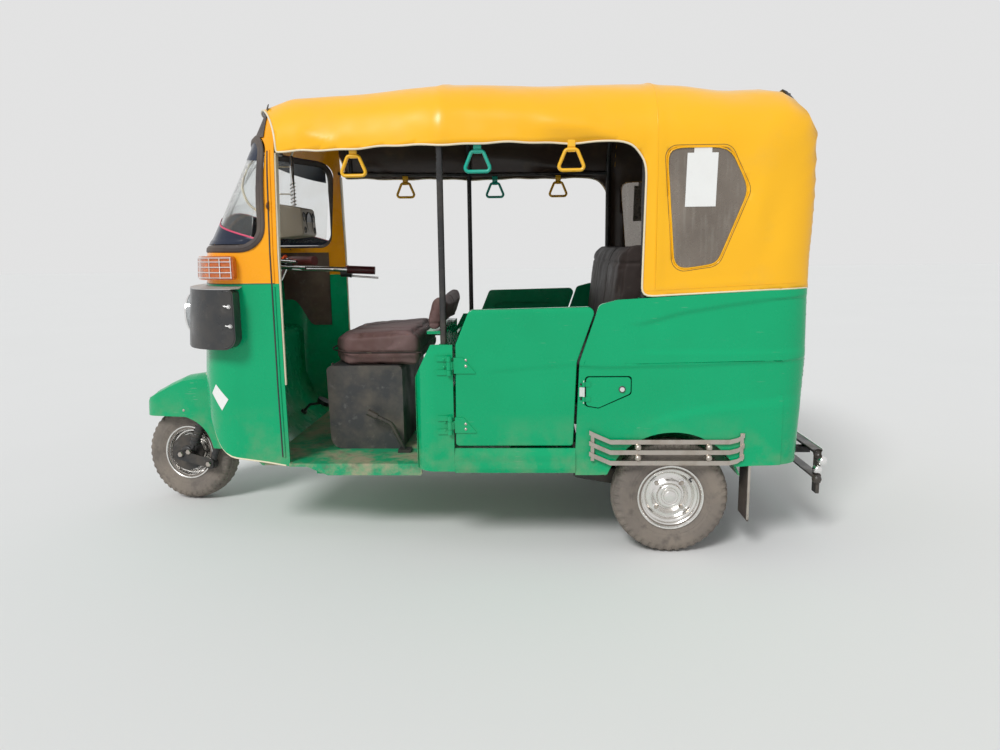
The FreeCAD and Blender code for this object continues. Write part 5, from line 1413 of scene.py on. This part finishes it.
def from_front(tree, turn, z, lift=0.0):
    """Point over the skin at a turn in degrees from straight ahead and a height, and the way it faces."""
    angle = math.radians(turn)
    way = Vector((-math.cos(angle), -math.sin(angle), 0))
    return landed(tree, place(CAB_MIDDLE, 0, z) - way * 2, way, 1.95, lift)


def turns_to(most):
    """Turns in degrees from one side of the cab to the other."""
    return [-most + 2 * most * i / 60 for i in range(61)]


def belt(name, cells, width, height, finish, closed=False, sides=8):
    """Low rounded strip along a row of (point, normal). Sizes in millimetres."""
    work = bmesh.new()
    count = len(cells)
    rings = []
    for i, (spot, normal) in enumerate(cells):
        ahead = cells[(i + 1) % count][0] if closed or i < count - 1 else spot
        behind = cells[i - 1][0] if closed or i > 0 else spot
        across = normal.cross((ahead - behind).normalized()).normalized()
        spots = circle(spot, across * (width / 2000), normal * (height / 2000), sides)
        rings.append([work.verts.new(point) for point in spots])
    bridge(work, rings, closed)
    return finished(name, outward(work), "vehicle", finish, 50)


def film_into(work, grid, thick):
    """Thin sheet over a grid of (point, normal), added to a bmesh. Thickness in millimetres."""
    outer = [[work.verts.new(spot + normal * (thick / 1000)) for spot, normal in row] for row in grid]
    inner = [[work.verts.new(spot) for spot, _ in row] for row in grid]
    rows, columns = len(grid), len(grid[0])
    for i in range(rows - 1):
        for k in range(columns - 1):
            work.faces.new((outer[i][k], outer[i][k + 1], outer[i + 1][k + 1], outer[i + 1][k]))
            work.faces.new((inner[i][k], inner[i + 1][k], inner[i + 1][k + 1], inner[i][k + 1]))
    rim = [(0, k) for k in range(columns)] + [(i, columns - 1) for i in range(1, rows)]
    rim += [(rows - 1, k) for k in range(columns - 2, -1, -1)] + [(i, 0) for i in range(rows - 2, 0, -1)]
    for (i, k), (m, n) in zip(rim, rim[1:] + rim[:1]):
        work.faces.new((outer[i][k], inner[i][k], inner[m][n], outer[m][n]))


def film(name, grid, thick, finish):
    """Thin sheet over a grid of (point, normal), as a piece of its own."""
    work = bmesh.new()
    film_into(work, grid, thick)
    return finished(name, outward(work), "vehicle", finish, 50)


CAB_SKIN = skin_of("cowl_lower", "cowl_upper", "windscreen", "windscreen_seal")
SCREEN_SKIN = skin_of("cowl_upper", "windscreen", "windscreen_seal")
# Half width of the screen's outline along the skin, its foot and top, and how far one degree reaches
SCREEN_HALF, SCREEN_LOW, SCREEN_HIGH = 676, 1096, 1489
DEGREE = 8.3


def screen_seal():
    """Wide rubber seal all round the wrapped screen."""
    outline = rounded([(-SCREEN_HALF, SCREEN_LOW, 74), (SCREEN_HALF, SCREEN_LOW, 74),
                       (SCREEN_HALF, SCREEN_HIGH, 60), (-SCREEN_HALF, SCREEN_HIGH, 60)], 8)
    cells = []
    for (a, z), (b, top) in zip(outline, outline[1:] + outline[:1]):
        steps = max(1, int(math.hypot(b - a, top - z) / 16))
        for k in range(steps):
            share = k / steps
            cells.append(from_front(SCREEN_SKIN, (a + (b - a) * share) / DEGREE, z + (top - z) * share, 1.5))
    softened = []
    for i, (spot, normal) in enumerate(cells):
        before, after = cells[i - 1], cells[(i + 1) % len(cells)]
        softened.append(((before[0] + spot * 2 + after[0]) / 4,
                         (before[1] + normal * 2 + after[1]).normalized()))
    seal = belt("screen_seal", softened, 29, 13, RUBBER, closed=True, sides=14)
    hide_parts("windscreen_seal")
    lip = [(spot + normal * 0.0052, normal) for spot, normal in softened]
    belt("screen_seal_lip", lip, 7, 5, RUBBER, closed=True)


def screen_bands():
    """Dark tinted bands at the top and foot of the screen, with a thin line over the lower one."""
    turns = turns_to(79)

    def line(turn):
        return 1244 - 0.0181 * turn * turn

    def band(name, low, high, steps):
        rows = []
        for i in range(steps + 1):
            heights = [low(turn) + (high(turn) - low(turn)) * i / steps for turn in turns]
            rows.append([from_front(SCREEN_SKIN, turn, z, 1.2) for turn, z in zip(turns, heights)])
        film(name, rows, 0.6, BLUE_BAND)

    band("upper_tint_band", lambda turn: 1452 - 0.0075 * turn * turn, lambda turn: 1476, 4)
    band("lower_tint_band", lambda turn: 1112, line, 8)
    cells = [from_front(SCREEN_SKIN, turn, line(turn), 2.2) for turn in turns]
    belt("screen_line", cells, 6, 1.2, PINK_LINE)


def screen_header():
    """Dark header over the screen, up to the front of the hood."""
    rows = []
    for turn in turns_to(82):
        low, normal = from_front(SCREEN_SKIN, turn, 1500, 2.0)
        high = from_front(SCREEN_SKIN, turn, 1552, 2.0)[0]
        rise = (high - low) / (high.z - low.z)
        rows.append([(low + rise * step, normal) for step in (-0.012, 0.01, 0.03, 0.06, 0.085, 0.11)])
    film("screen_header", rows, 2.5, RUBBER)


screen_seal()
screen_bands()
screen_header()


def cowl_rim():
    """Points along the lower edge of the cowl, from one rear corner round the nose to the other."""
    tree = skin_of("cowl_lower")
    rim = []
    for turn in range(-86, 87):
        low, high = 285.0, 740.0
        if from_front(tree, turn, low) is not None:
            continue
        for _ in range(14):
            middle = (low + high) / 2
            if from_front(tree, turn, middle) is None:
                low = middle
            else:
                high = middle
        rim.append(from_front(tree, turn, high + 1.0, 0.5))
    return rim


def cowl_edges():
    """Cream bead round the cowl's lower edge, dark belt line, and the gutter down each side: a bead in the
    body's colours with its hook, and ahead of the bead a black strip that is its painted shadow.
    """
    belt("cowl_edge_bead", cowl_rim(), 6.5, 6.5, PIPING)
    belt("belt_line", [from_front(CAB_SKIN, turn, 970, 0.2) for turn in range(-86, 87, 2)], 3, 1.6, BLACK,
         sides=6)
    beads = (("lower", 322, 968, GREEN, "body_green"), ("upper", 972, 1446, CAB_YELLOW, "cab_yellow"))
    hook = ((-577, 1262, 0), (-574, 1250, 11), (-573, 1240, 12), (-577, 1231, 5))
    for side, name in SIDES:
        # Black strip ahead of the gutter bead: painted shadow of the bead
        groove = [from_side(CAB_SKIN, -574, z, 0.4, side) for z in range(322, 1446, 12)]
        belt(f"gutter_{name}", groove, 5.5, 3.2, BLACK)
        for part, low, high, finish, slot in beads:
            bead = [from_side(CAB_SKIN, -582, z, 0.5, side) for z in range(low, high, 12)]
            belt(f"gutter_bead_{part}_{name}", bead, 9, 8, finish, sides=12)
        spots = [from_side(CAB_SKIN, x, z, lift, side)[0] for x, z, lift in hook]
        tube(f"gutter_hook_{name}", smooth_path(spots, 6), 3.2, "vehicle", RUST)


def rear_edge_strips():
    """Cream edge strip that closes the rear of the cab's side."""
    behind = place(-601, 0, 0).x
    for side, name in SIDES:
        work = bmesh.new()
        rings = []
        for z in range(598, 1436, 16):
            spot = from_side(CAB_SKIN, -596, z, 0.0, side)[0]
            wide = 0.012 + 0.020 * smooth(900, 1290, z)
            corners = [(behind, 0.001), (behind - 0.0045, 0.003), (behind - 0.0045, wide),
                       (behind, wide + 0.002)]
            rings.append([work.verts.new((x, spot.y - side * inward, spot.z)) for x, inward in corners])
        bridge(work, rings)
        finished(f"cab_edge_strip_{name}", outward(work), "vehicle", PIPING)


def wiper():
    """Wiper on the screen's upper front part, with its motor inside."""
    blade = []
    for z in range(1440, 1185, -15):
        lift = 5 + 15 * math.sin(math.pi * (1440 - z) / 250)
        blade.append(from_front(SCREEN_SKIN, 17 + (1440 - z) / 60, z, lift)[0])
    tube("wiper_blade", blade, 4.2, "vehicle", BLACK)
    arm = []
    for share in (0, 0.2, 0.45, 0.7, 1.0):
        lift = 14 + 14 * math.sin(math.pi * share)
        arm.append(from_front(SCREEN_SKIN, 10 + 9 * share, 1520 - 190 * share, lift)[0])
    tube("wiper_arm", smooth_path(arm, 6), 3.5, "vehicle", BLACK_PAINT)
    spot, normal = from_front(SCREEN_SKIN, 10, 1520, 2)
    turned("wiper_pivot", [(-3, 0), (-3, 12), (8, 12), (12, 9), (15, 8), (16, 0)], spot, normal, "vehicle",
           BLACK, 24)
    turned("wiper_clip", [(-5, 0), (-5, 6), (5, 6), (5, 0)], arm[-1], (0, 1, 0), "vehicle", CHROME,
           12)
    slab("wiper_motor", trapezoid(-473, 60, 150, 27, 27, 10), "XY", 1468, 1512, "vehicle", BLACK,
         "black_plastic", 4)
    bar("wiper_tube", [(-470, 150, 1480), (-440, 280, 1420), (-440, 372, 1335), (-466, 410, 1272),
                       (-505, 442, 1238), (-545, 478, 1226)], 4.5, "vehicle", PIPING)


cowl_edges()
rear_edge_strips()
wiper()


def lamp_plate(housing):
    """Pale top plate of the lamp housing, up to the cowl."""
    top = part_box("lamp_housing")[1].z + 0.0002
    up = Vector((0, 0, 1))
    grid = []
    for turn in turns_to(84):
        outer = from_front(housing, turn, 945)
        inner = from_front(CAB_SKIN, turn, 958)
        if outer is None or inner is None or outer[0].x < place(-452, 0, 0).x:
            continue
        edge, back = outer[0].copy(), inner[0].copy()
        edge.z = back.z = top
        grid.append([(edge, up), (edge.lerp(back, 0.35), up), (edge.lerp(back, 0.7), up),
                     (back + up * 0.007, up)])
    film("lamp_top_plate", grid, 2.5, PALE_SHEET)


def indicator_guard(name, wraps, side):
    """Wire guard over an indicator."""
    rows = [[(x, z) for x in range(-443, -262, 9)] for z in (993, 1012, 1031, 1050, 1064)]
    columns = [[(x, z) for z in range(990, 1068, 8)] for x in (-440, -398, -352, -306, -268)]
    work = bmesh.new()
    for wire in rows + columns:
        cells = [from_side(wraps, x, z, 4.0, side) for x, z in wire]
        tube_into(work, [cell[0] for cell in cells if cell], 0.0018, 6)
    finished(name, work, "vehicle", CHROME)


def lamps():
    """Top plate, edges and fasteners of the lamp housing, bezels, and wire guards on the indicators."""
    housing, wraps = skin_of("lamp_housing"), skin_of("indicators")
    lamp_plate(housing)
    stud = [(-1, 0), (-1, 7.5), (1.5, 7.5), (3, 6), (7, 5.5), (7, 0)]
    bezel = [(2, 74), (2, 82.5), (7, 82.5), (10.5, 80), (11, 76), (8.5, 73.5), (2, 73.5), (2, 74)]
    outline = rounded([(-446, 744, 40), (-446, 946, 16), (-330, 946), (-330, 744)], 8)[:19]
    for side, name in SIDES:
        for title, x, z in (("upper", -434, 892), ("lower", -436, 822)):
            spot, normal = from_side(housing, x, z, 0.0, side)
            work = bmesh.new()
            turned_into(work, stud, spot, normal, 16)
            wing = [spot + normal * 0.005, spot + normal * 0.006 + Vector((0.016, 0, 0.003))]
            tube_into(work, wing, 0.0028, 8)
            finished(f"lamp_fastener_{name}_{title}", outward(work), "vehicle", CHROME)
        edge = [from_side(housing, x, z, 0.6, side) for x, z in outline]
        belt(f"lamp_edge_{name}", [cell for cell in edge if cell], 4, 3, BLACK)
        turned(f"headlamp_bezel_{name}", bezel, place(-152, side * 212, 844.5), (1, 0, 0), "vehicle", CHROME,
               48)
        indicator_guard(f"indicator_guard_{name}", wraps, side)


def blank_diamond(steps=8):
    """Thin white card on the cowl's left side, between four corners in x and z."""
    (ax, az), (bx, bz), (cx, cz), (dx, dz) = (-332, 598), (-383, 544), (-352, 500), (-308, 562)
    grid = []
    for i in range(steps + 1):
        u = i / steps
        row = []
        for k in range(steps + 1):
            v = k / steps
            x = (ax + (bx - ax) * v) * (1 - u) + (dx + (cx - dx) * v) * u
            z = (az + (bz - az) * v) * (1 - u) + (dz + (cz - dz) * v) * u
            row.append(from_side(CAB_SKIN, x, z, 0.5))
        grid.append(row)
    film("blank_diamond", grid, 0.8, WHITE)


lamps()
blank_diamond()

# Crown of the mudguard along its length, X and height
GUARD_CROWN = [(-300, 563), (-81, 563), (-14, 553), (54, 524), (117, 490), (153, 458), (177, 420), (190, 384)]
# Height under which the mudguard stays as it is, and its level crown at the front as drawn in the solid
GUARD_FOOT, SOLID_FRONT = 372, 413


def mudguard():
    """Front mudguard with its crown rounded down to the front and to both sides."""
    work = bmesh.new()
    work.from_mesh(nodes["front_mudguard"].data)
    bmesh.ops.transform(work, matrix=STEERED.inverted(), verts=work.verts)
    bmesh.ops.remove_doubles(work, verts=work.verts, dist=0.00001)
    sliced(work, [(0, [AXLE + x / 1000 for x in range(-240, 192, 9)]),
                  (1, [y / 1000 for y in range(-100, 100, 8)]), (2, [z / 1000 for z in range(380, 560, 9)])])
    for vert in work.verts:
        x, y, z = drawn(vert.co)
        if z < GUARD_FOOT:
            continue
        old = SOLID_FRONT
        if x < 188:
            old += math.sqrt(max(0.0, 150 ** 2 - max(0.0, x - 38) ** 2))
        new = along(GUARD_CROWN[::-1], x)
        crown = GUARD_FOOT + (z - GUARD_FOOT) * min(1.0, (new - GUARD_FOOT) / (old - GUARD_FOOT))
        crown -= 26 * (abs(y) / 104) ** 3 * smooth(470, 560, z)
        vert.co.z = crown / 1000
    made = finished("mudguard", work, "steering", GREEN, 40)
    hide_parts("front_mudguard")
    heads("mudguard_bolts", [(-20, 103, 400), (-20, -103, 400)], (0, 1, 0), 6, 3, "steering", STEEL)


mudguard()
# Trim and small parts

ON_BODY = skin_of("quarter_left", "quarter_right", "door_left", "door_right", "bulkhead", "fuel_flap",
                  "door_hinges", "flap_hinge", "sills")


def side_heads(name, spots, side, radius, height, body, finish):
    """Round heads on a side's skin, each standing out along Y."""
    work = bmesh.new()
    profile = [(-1.5, 0), (-1.5, radius), (height * 0.55, radius), (height, radius * 0.6), (height, 0)]
    for x, z in spots:
        found = from_side(ON_BODY, x, z, 0.0, side)
        if found:
            turned_into(work, profile, found[0], (0, side, 0), 12)
    finished(name, outward(work), body, finish, 40)


def hinges_and_locks():
    """Screws in the door hinges, the holes of the latch plate, and the flap's lock with its ring."""
    door_screws = [(-1284, 708), (-1284, 688), (-1280, 484), (-1280, 466)]
    pillar_screws = [(-1208, 712), (-1208, 684), (-1208, 490), (-1208, 462)]
    for side, name in SIDES:
        side_heads(f"door_hinge_screws_{name}", door_screws, side, 4.6, 2.6, f"{name}_door", STEEL)
        side_heads(f"pillar_hinge_screws_{name}", pillar_screws, side, 4.2, 2.4, "vehicle", GREEN)
    side_heads("flap_plate_holes", [(-1679, 622), (-1679, 571)], 1, 3.6, 1.0, "vehicle", BLACK)
    spot = from_side(ON_BODY, -1820, 604)[0]
    turned("flap_lock_ring", [(-1, 0), (-1, 12), (1.5, 12), (2.5, 10.5), (2.5, 0)], spot, (0, 1, 0),
           "filler_flap", BLACK, 24)
    turned("flap_lock", [(2, 0), (2, 8.5), (6.5, 8.5), (8, 7), (8.5, 0)], spot, (0, 1, 0), "filler_flap",
           CHROME, 24)


def grips():
    """Hand grips: moulded trapezoid loops with a strap tab, one pair sea green and the others yellow."""
    spots = [vert.co for vert in nodes["hand_grips"].data.vertices]
    for x, finish, title in ((-899, GRIP_YELLOW, "front"), (-1333, GRIP_GREEN, "middle"),
                             (-1645, GRIP_YELLOW, "rear")):
        for side, name in SIDES:
            own = [co for co in spots if abs((co.x - AXLE) * 1000 - x) < 90 and co.y * side > 0]
            y = sum(co.y for co in own) / len(own) * 1000
            top = max(co.z for co in own) * 1000
            foot = top - 100
            work = bmesh.new()
            loop = trapezoid(x, foot + 66, foot, 19, 47, 12, 5)
            tube_into(work, [place(a, y, b) for a, b in loop], 0.0082, 12, closed=True, flatten=0.75)
            slab_into(work, trapezoid(x, foot + 58, foot + 80, 15, 12, 4), "XZ", y - 4, y + 4, 1.5)
            slab_into(work, trapezoid(x, foot + 74, top, 13, 13, 3), "XZ", y - 7, y + 7, 2)
            made = finished(f"hand_grip_{title}_{name}", outward(work), "vehicle", finish)
            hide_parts("hand_grips")


# Visor: half its width, how far it stands out, and the way it faces
VISOR_HALF, VISOR_DEEP = 420, 48
VISOR_WAY = Vector((-0.893, 0, 0.451))


def visor():
    """Dark moulded lens over the hood's rear slope."""
    grid = []
    for i in range(49):
        y = VISOR_HALF * math.sin(math.pi * (i / 48 - 0.5))
        deep = VISOR_DEEP * max(0.0, 1 - (abs(y) / VISOR_HALF) ** 9) ** 0.5
        row = []
        for k in range(15):
            share = k / 14
            low = 0.2 + 0.9 * share
            start = place(-2374 - 93 * low, y, 1660 - 182 * low) + VISOR_WAY * 0.4
            spot = HOOD_SOLID.ray_cast(start, -VISOR_WAY, 0.8)[0]
            if spot is None:
                break
            full = deep * max(0.0, math.sin(math.pi * share)) ** 0.62
            row.append((spot - VISOR_WAY * 0.002, VISOR_WAY * (3.0 + full)))
        if len(row) == 15:
            grid.append(row)
    made = film("visor", grid, 1.0, BLACK)
    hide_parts("rear_visor")
    lip = [(row[2][0] + row[2][1] * 0.001, VISOR_WAY) for row in grid]
    belt("visor_lip", lip, 8, 5, GREY_PLASTIC, sides=10)


def guards_and_bumper():
    """Ball ends of the guards, strips of the mud flaps, and the bumper's balls and bright edges."""
    for side, name in SIDES:
        work = bmesh.new()
        for x in (-1877, -2120):
            for z in (364, 401):
                turned_into(work, ball(12.5, 10), place(x, side * 660, z), (0, side, 0), 20)
        finished(f"guard_balls_{name}", outward(work), "vehicle", STEEL)
        slab(f"flap_strip_{name}", [(-2273, 130), (-2264, 130), (-2264, 338), (-2273, 338)], "XZ",
             *sorted((side * 622, side * 634)), "vehicle", STEEL, "bright_steel", 1)
        work = bmesh.new()
        for x, z in ((-2561, 312), (-2545, 280)):
            turned_into(work, ball(17.5, 12), place(x, side * 516, z), (0, side, 0), 24)
        finished(f"bumper_balls_{name}", outward(work), "vehicle", CHROME)
        work = bmesh.new()
        for z in (356, 229.5):
            tube_into(work, [place(-2561.5, side * y, z) for y in (20, 260, 518)], 0.0028, 8)
        finished(f"bumper_edges_{name}", work, "vehicle", CHROME)


def cards():
    """Blank placards in the side windows: a tall card with a tab of two steps on top."""
    tree = tree_of(bpy.data.objects["side_clear_sheet"].data)
    parts = ((-2022, -2122, 1214, 1386, 4), (-2043, -2101, 1384, 1402, 0), (-2051, -2093, 1400, 1410, 0))
    for (side, name), finish in zip(SIDES, (WHITE, BOARD)):
        work = bmesh.new()
        for front, back, low, high, lean in parts:
            grid = []
            for i in range(9):
                z = low + (high - low) * i / 8
                shift = lean * (1 - i / 8)
                grid.append([from_side(tree, front + (back - front) * k / 6 + shift, z, 0.6, side)
                             for k in range(7)])
            if all(cell for row in grid for cell in row):
                film_into(work, grid, 0.8)
        finished(f"blank_card_{name}", outward(work), "vehicle", finish)


hinges_and_locks()
grips()
visor()
guards_and_bumper()
cards()


def binnacle():
    """Instrument housing with plain dials, on two brackets."""
    work = bmesh.new()
    slab_into(work, rounded([(-462, 1136, 10), (-578, 1148, 14), (-570, 1262, 16), (-470, 1278, 12)]), "XZ",
              -96, 96, 6, 3)
    finished("binnacle", work, "vehicle", PALE_PLASTIC)
    dials = ((0, 44, 1205), (66, 20, 1225), (-66, 20, 1225), (66, 14, 1172), (-66, 14, 1172))
    for y, radius, height in dials:
        x = -575 + (height - 1148) * 0.07
        ring = [(0, 0), (-1, radius), (-4, radius), (-6, radius - 3), (-3, radius - 4), (-3, 0)]
        title = f"dial_{abs(y)}_{'left' if y >= 0 else 'right'}_{height}"
        turned(title, ring, place(x, y, height), (1, 0, 0), "vehicle", BLACK, 32)
    for name, y in (("binnacle_bracket", -30), ("binnacle_bracket_left", 30)):
        bar(name, [(-300, y, 1062), (-360, y, 1100), (-440, y, 1160), (-480, y, 1172)], 9, "vehicle",
            BLACK_PAINT, flatten=0.5)


def cab_rods():
    """Upright rod behind the binnacle with a wire twisted round it, its cross rods and its stay."""
    rod = [(-512, 0, z) for z in (1266, 1300, 1340, 1400, 1440, 1476)]
    bar("cab_rod", rod, 8.5, "vehicle", CHROME, smooth=False, sides=16)
    twist = []
    for k in range(91):
        turn = 2 * math.pi * k / 13
        twist.append((-512 + 10 * math.cos(turn), 10 * math.sin(turn), 1272 + 100 * k / 90))
    bar("cab_rod_twist", twist, 2.6, "vehicle", CHROME, smooth=False, sides=8)
    for z, name in ((1433, "upper"), (1322, "lower")):
        bar(f"cab_cross_rod_{name}", [(-514, 0, z), (-480, -6, z + 1), (-446, -12, z + 2)], 2.6, "vehicle",
            PIPING, sides=8)
    bar("cab_rod_stay", [(-512, 0, 1474), (-530, 10, 1510), (-556, 20, 1560), (-580, 24, 1612)], 4, "vehicle",
        PIPING, sides=8)


def cab_lining():
    """Brown boards on the inner sides of the cowl, up to the foot of the screen."""
    inner = skin_of("cowl_lower", "cowl_upper")
    for side, name in SIDES:
        grid = []
        for k in range(17):
            x = -516 + 206 * k / 16
            low = 722 + 130 * smooth(-430, -335, x)
            heights = [low + (1078 - low) * i / 18 for i in range(19)]
            column = [inner.ray_cast(place(x, 0, z), Vector((0, side, 0)), 0.8)[0] for z in heights]
            if all(column):
                inward = Vector((0, -side, 0))
                grid.append([(spot + inward / 1000, inward) for spot in column])
        film(f"cab_lining_{name}", grid, 5, BOARD)


def bar_controls():
    """Switch block, lever and turn switch on each end of the handlebar."""
    for side, name in SIDES:
        (ax, ay, az), (bx, by, bz) = (-590, side * 268, 1006), (-640, side * 284, 1003)
        block = [place(ax, ay, az), place((ax + bx) / 2, (ay + by) / 2, az + 2), place(bx, by, bz)]
        tube(f"switch_block_{name}", block, 20, "steering", BLACK, 14)
        bar(f"lever_{name}", [(ax, ay + side * 26, az - 8), (ax - 60, ay + side * 52, az - 14),
                              (ax - 150, ay + side * 84, az - 20)], 5, "steering", CHROME)
        bar(f"turn_switch_{name}", [(ax - 10, ay + side * 8, az + 18), (ax - 34, ay + side * 18, az + 30)], 7,
            "steering", ORANGE)


binnacle()
cab_rods()
cab_lining()
bar_controls()

# Floor, light and camera

FLOOR_Z = 0.0
FLOOR_REACH = 40.0
FOCAL_PIXELS = 746.3
SENSOR = 36.0
IMAGE_WIDTH = 1000


def photo_camera():
    """Camera where the photograph was taken from, fitted to the vehicle's own points."""
    yaw, pitch, roll = math.radians(2.46), math.radians(9.54), math.radians(-0.68)
    ahead = Vector((math.sin(yaw) * math.cos(pitch), -math.cos(yaw) * math.cos(pitch), -math.sin(pitch)))
    right = ahead.cross(Vector((0, 0, 1))).normalized()
    up = right.cross(ahead)
    across = right * math.cos(roll) + up * math.sin(roll)
    upward = up * math.cos(roll) - right * math.sin(roll)
    camera = added("camera", bpy.data.cameras.new("camera"))
    camera.data.sensor_width = SENSOR
    camera.data.lens = FOCAL_PIXELS / IMAGE_WIDTH * SENSOR
    camera.matrix_world = Matrix.Translation(place(-1510, 3182, 1082)) @ Matrix(
        (across, upward, -ahead)).transposed().to_4x4()
    bpy.context.scene.camera = camera


# Direction towards the sun, with its strength and the width of its disc in degrees
SUN_WAY = (0.35, 0.65, 0.68)
SUN_STRENGTH = 1.9
SUN_WIDTH = 18
SKY_STRENGTH = 0.55
BACKDROP = 0.765


def studio():
    """A pale floor that runs far out, a plain pale world and one soft sun."""
    work = bmesh.new()
    work.faces.new([work.verts.new((x * FLOOR_REACH, y * FLOOR_REACH, FLOOR_Z))
                    for x, y in ((-1, -1), (1, -1), (1, 1), (-1, 1))])
    floor = added("floor", mesh_of(work, "floor"))
    floor.data.materials.append(pale_floor())
    sun = added("soft_sun", bpy.data.lights.new("soft_sun", "SUN"))
    sun.data.energy = SUN_STRENGTH
    sun.data.angle = math.radians(SUN_WIDTH)
    sun.rotation_euler = Vector(SUN_WAY).to_track_quat("Z", "Y").to_euler()
    pale_world()


def pale_world():
    """Soft light from all round, and a plain backdrop for what looks past the floor."""
    world = bpy.data.worlds.new("pale_world")
    world.use_nodes = True
    tree = world.node_tree
    light = tree.nodes["Background"]
    light.inputs["Color"].default_value = (0.96, 0.98, 1.0, 1)
    light.inputs["Strength"].default_value = SKY_STRENGTH
    seen = tree.nodes.new("ShaderNodeBackground")
    seen.inputs["Color"].default_value = (BACKDROP, BACKDROP, BACKDROP, 1)
    rays = tree.nodes.new("ShaderNodeLightPath")
    share = None
    for kind in ("Is Camera Ray", "Is Glossy Ray", "Is Transmission Ray"):
        if share is None:
            share = rays.outputs[kind]
            continue
        both_kinds = tree.nodes.new("ShaderNodeMath")
        both_kinds.operation = "MAXIMUM"
        tree.links.new(share, both_kinds.inputs[0])
        tree.links.new(rays.outputs[kind], both_kinds.inputs[1])
        share = both_kinds.outputs[0]
    mix = tree.nodes.new("ShaderNodeMixShader")
    tree.links.new(share, mix.inputs[0])
    tree.links.new(light.outputs[0], mix.inputs[1])
    tree.links.new(seen.outputs[0], mix.inputs[2])
    tree.links.new(mix.outputs[0], tree.nodes["World Output"].inputs[0])
    bpy.context.scene.world = world


def pale_floor():
    """Pale, faintly uneven floor paint."""
    paint = Paint("pale_floor", (0.80, 0.80, 0.79), 0.8)
    paint.tint(paint.span(paint.noise(0.6, 3), 0.35, 0.7, 0, 0.3), (0.77, 0.77, 0.76))
    paint.bump(paint.noise(60, 3), 0.05, 0.0004)
    return paint.material


photo_camera()
studio()
bpy.context.scene.view_settings.view_transform = "Standard"
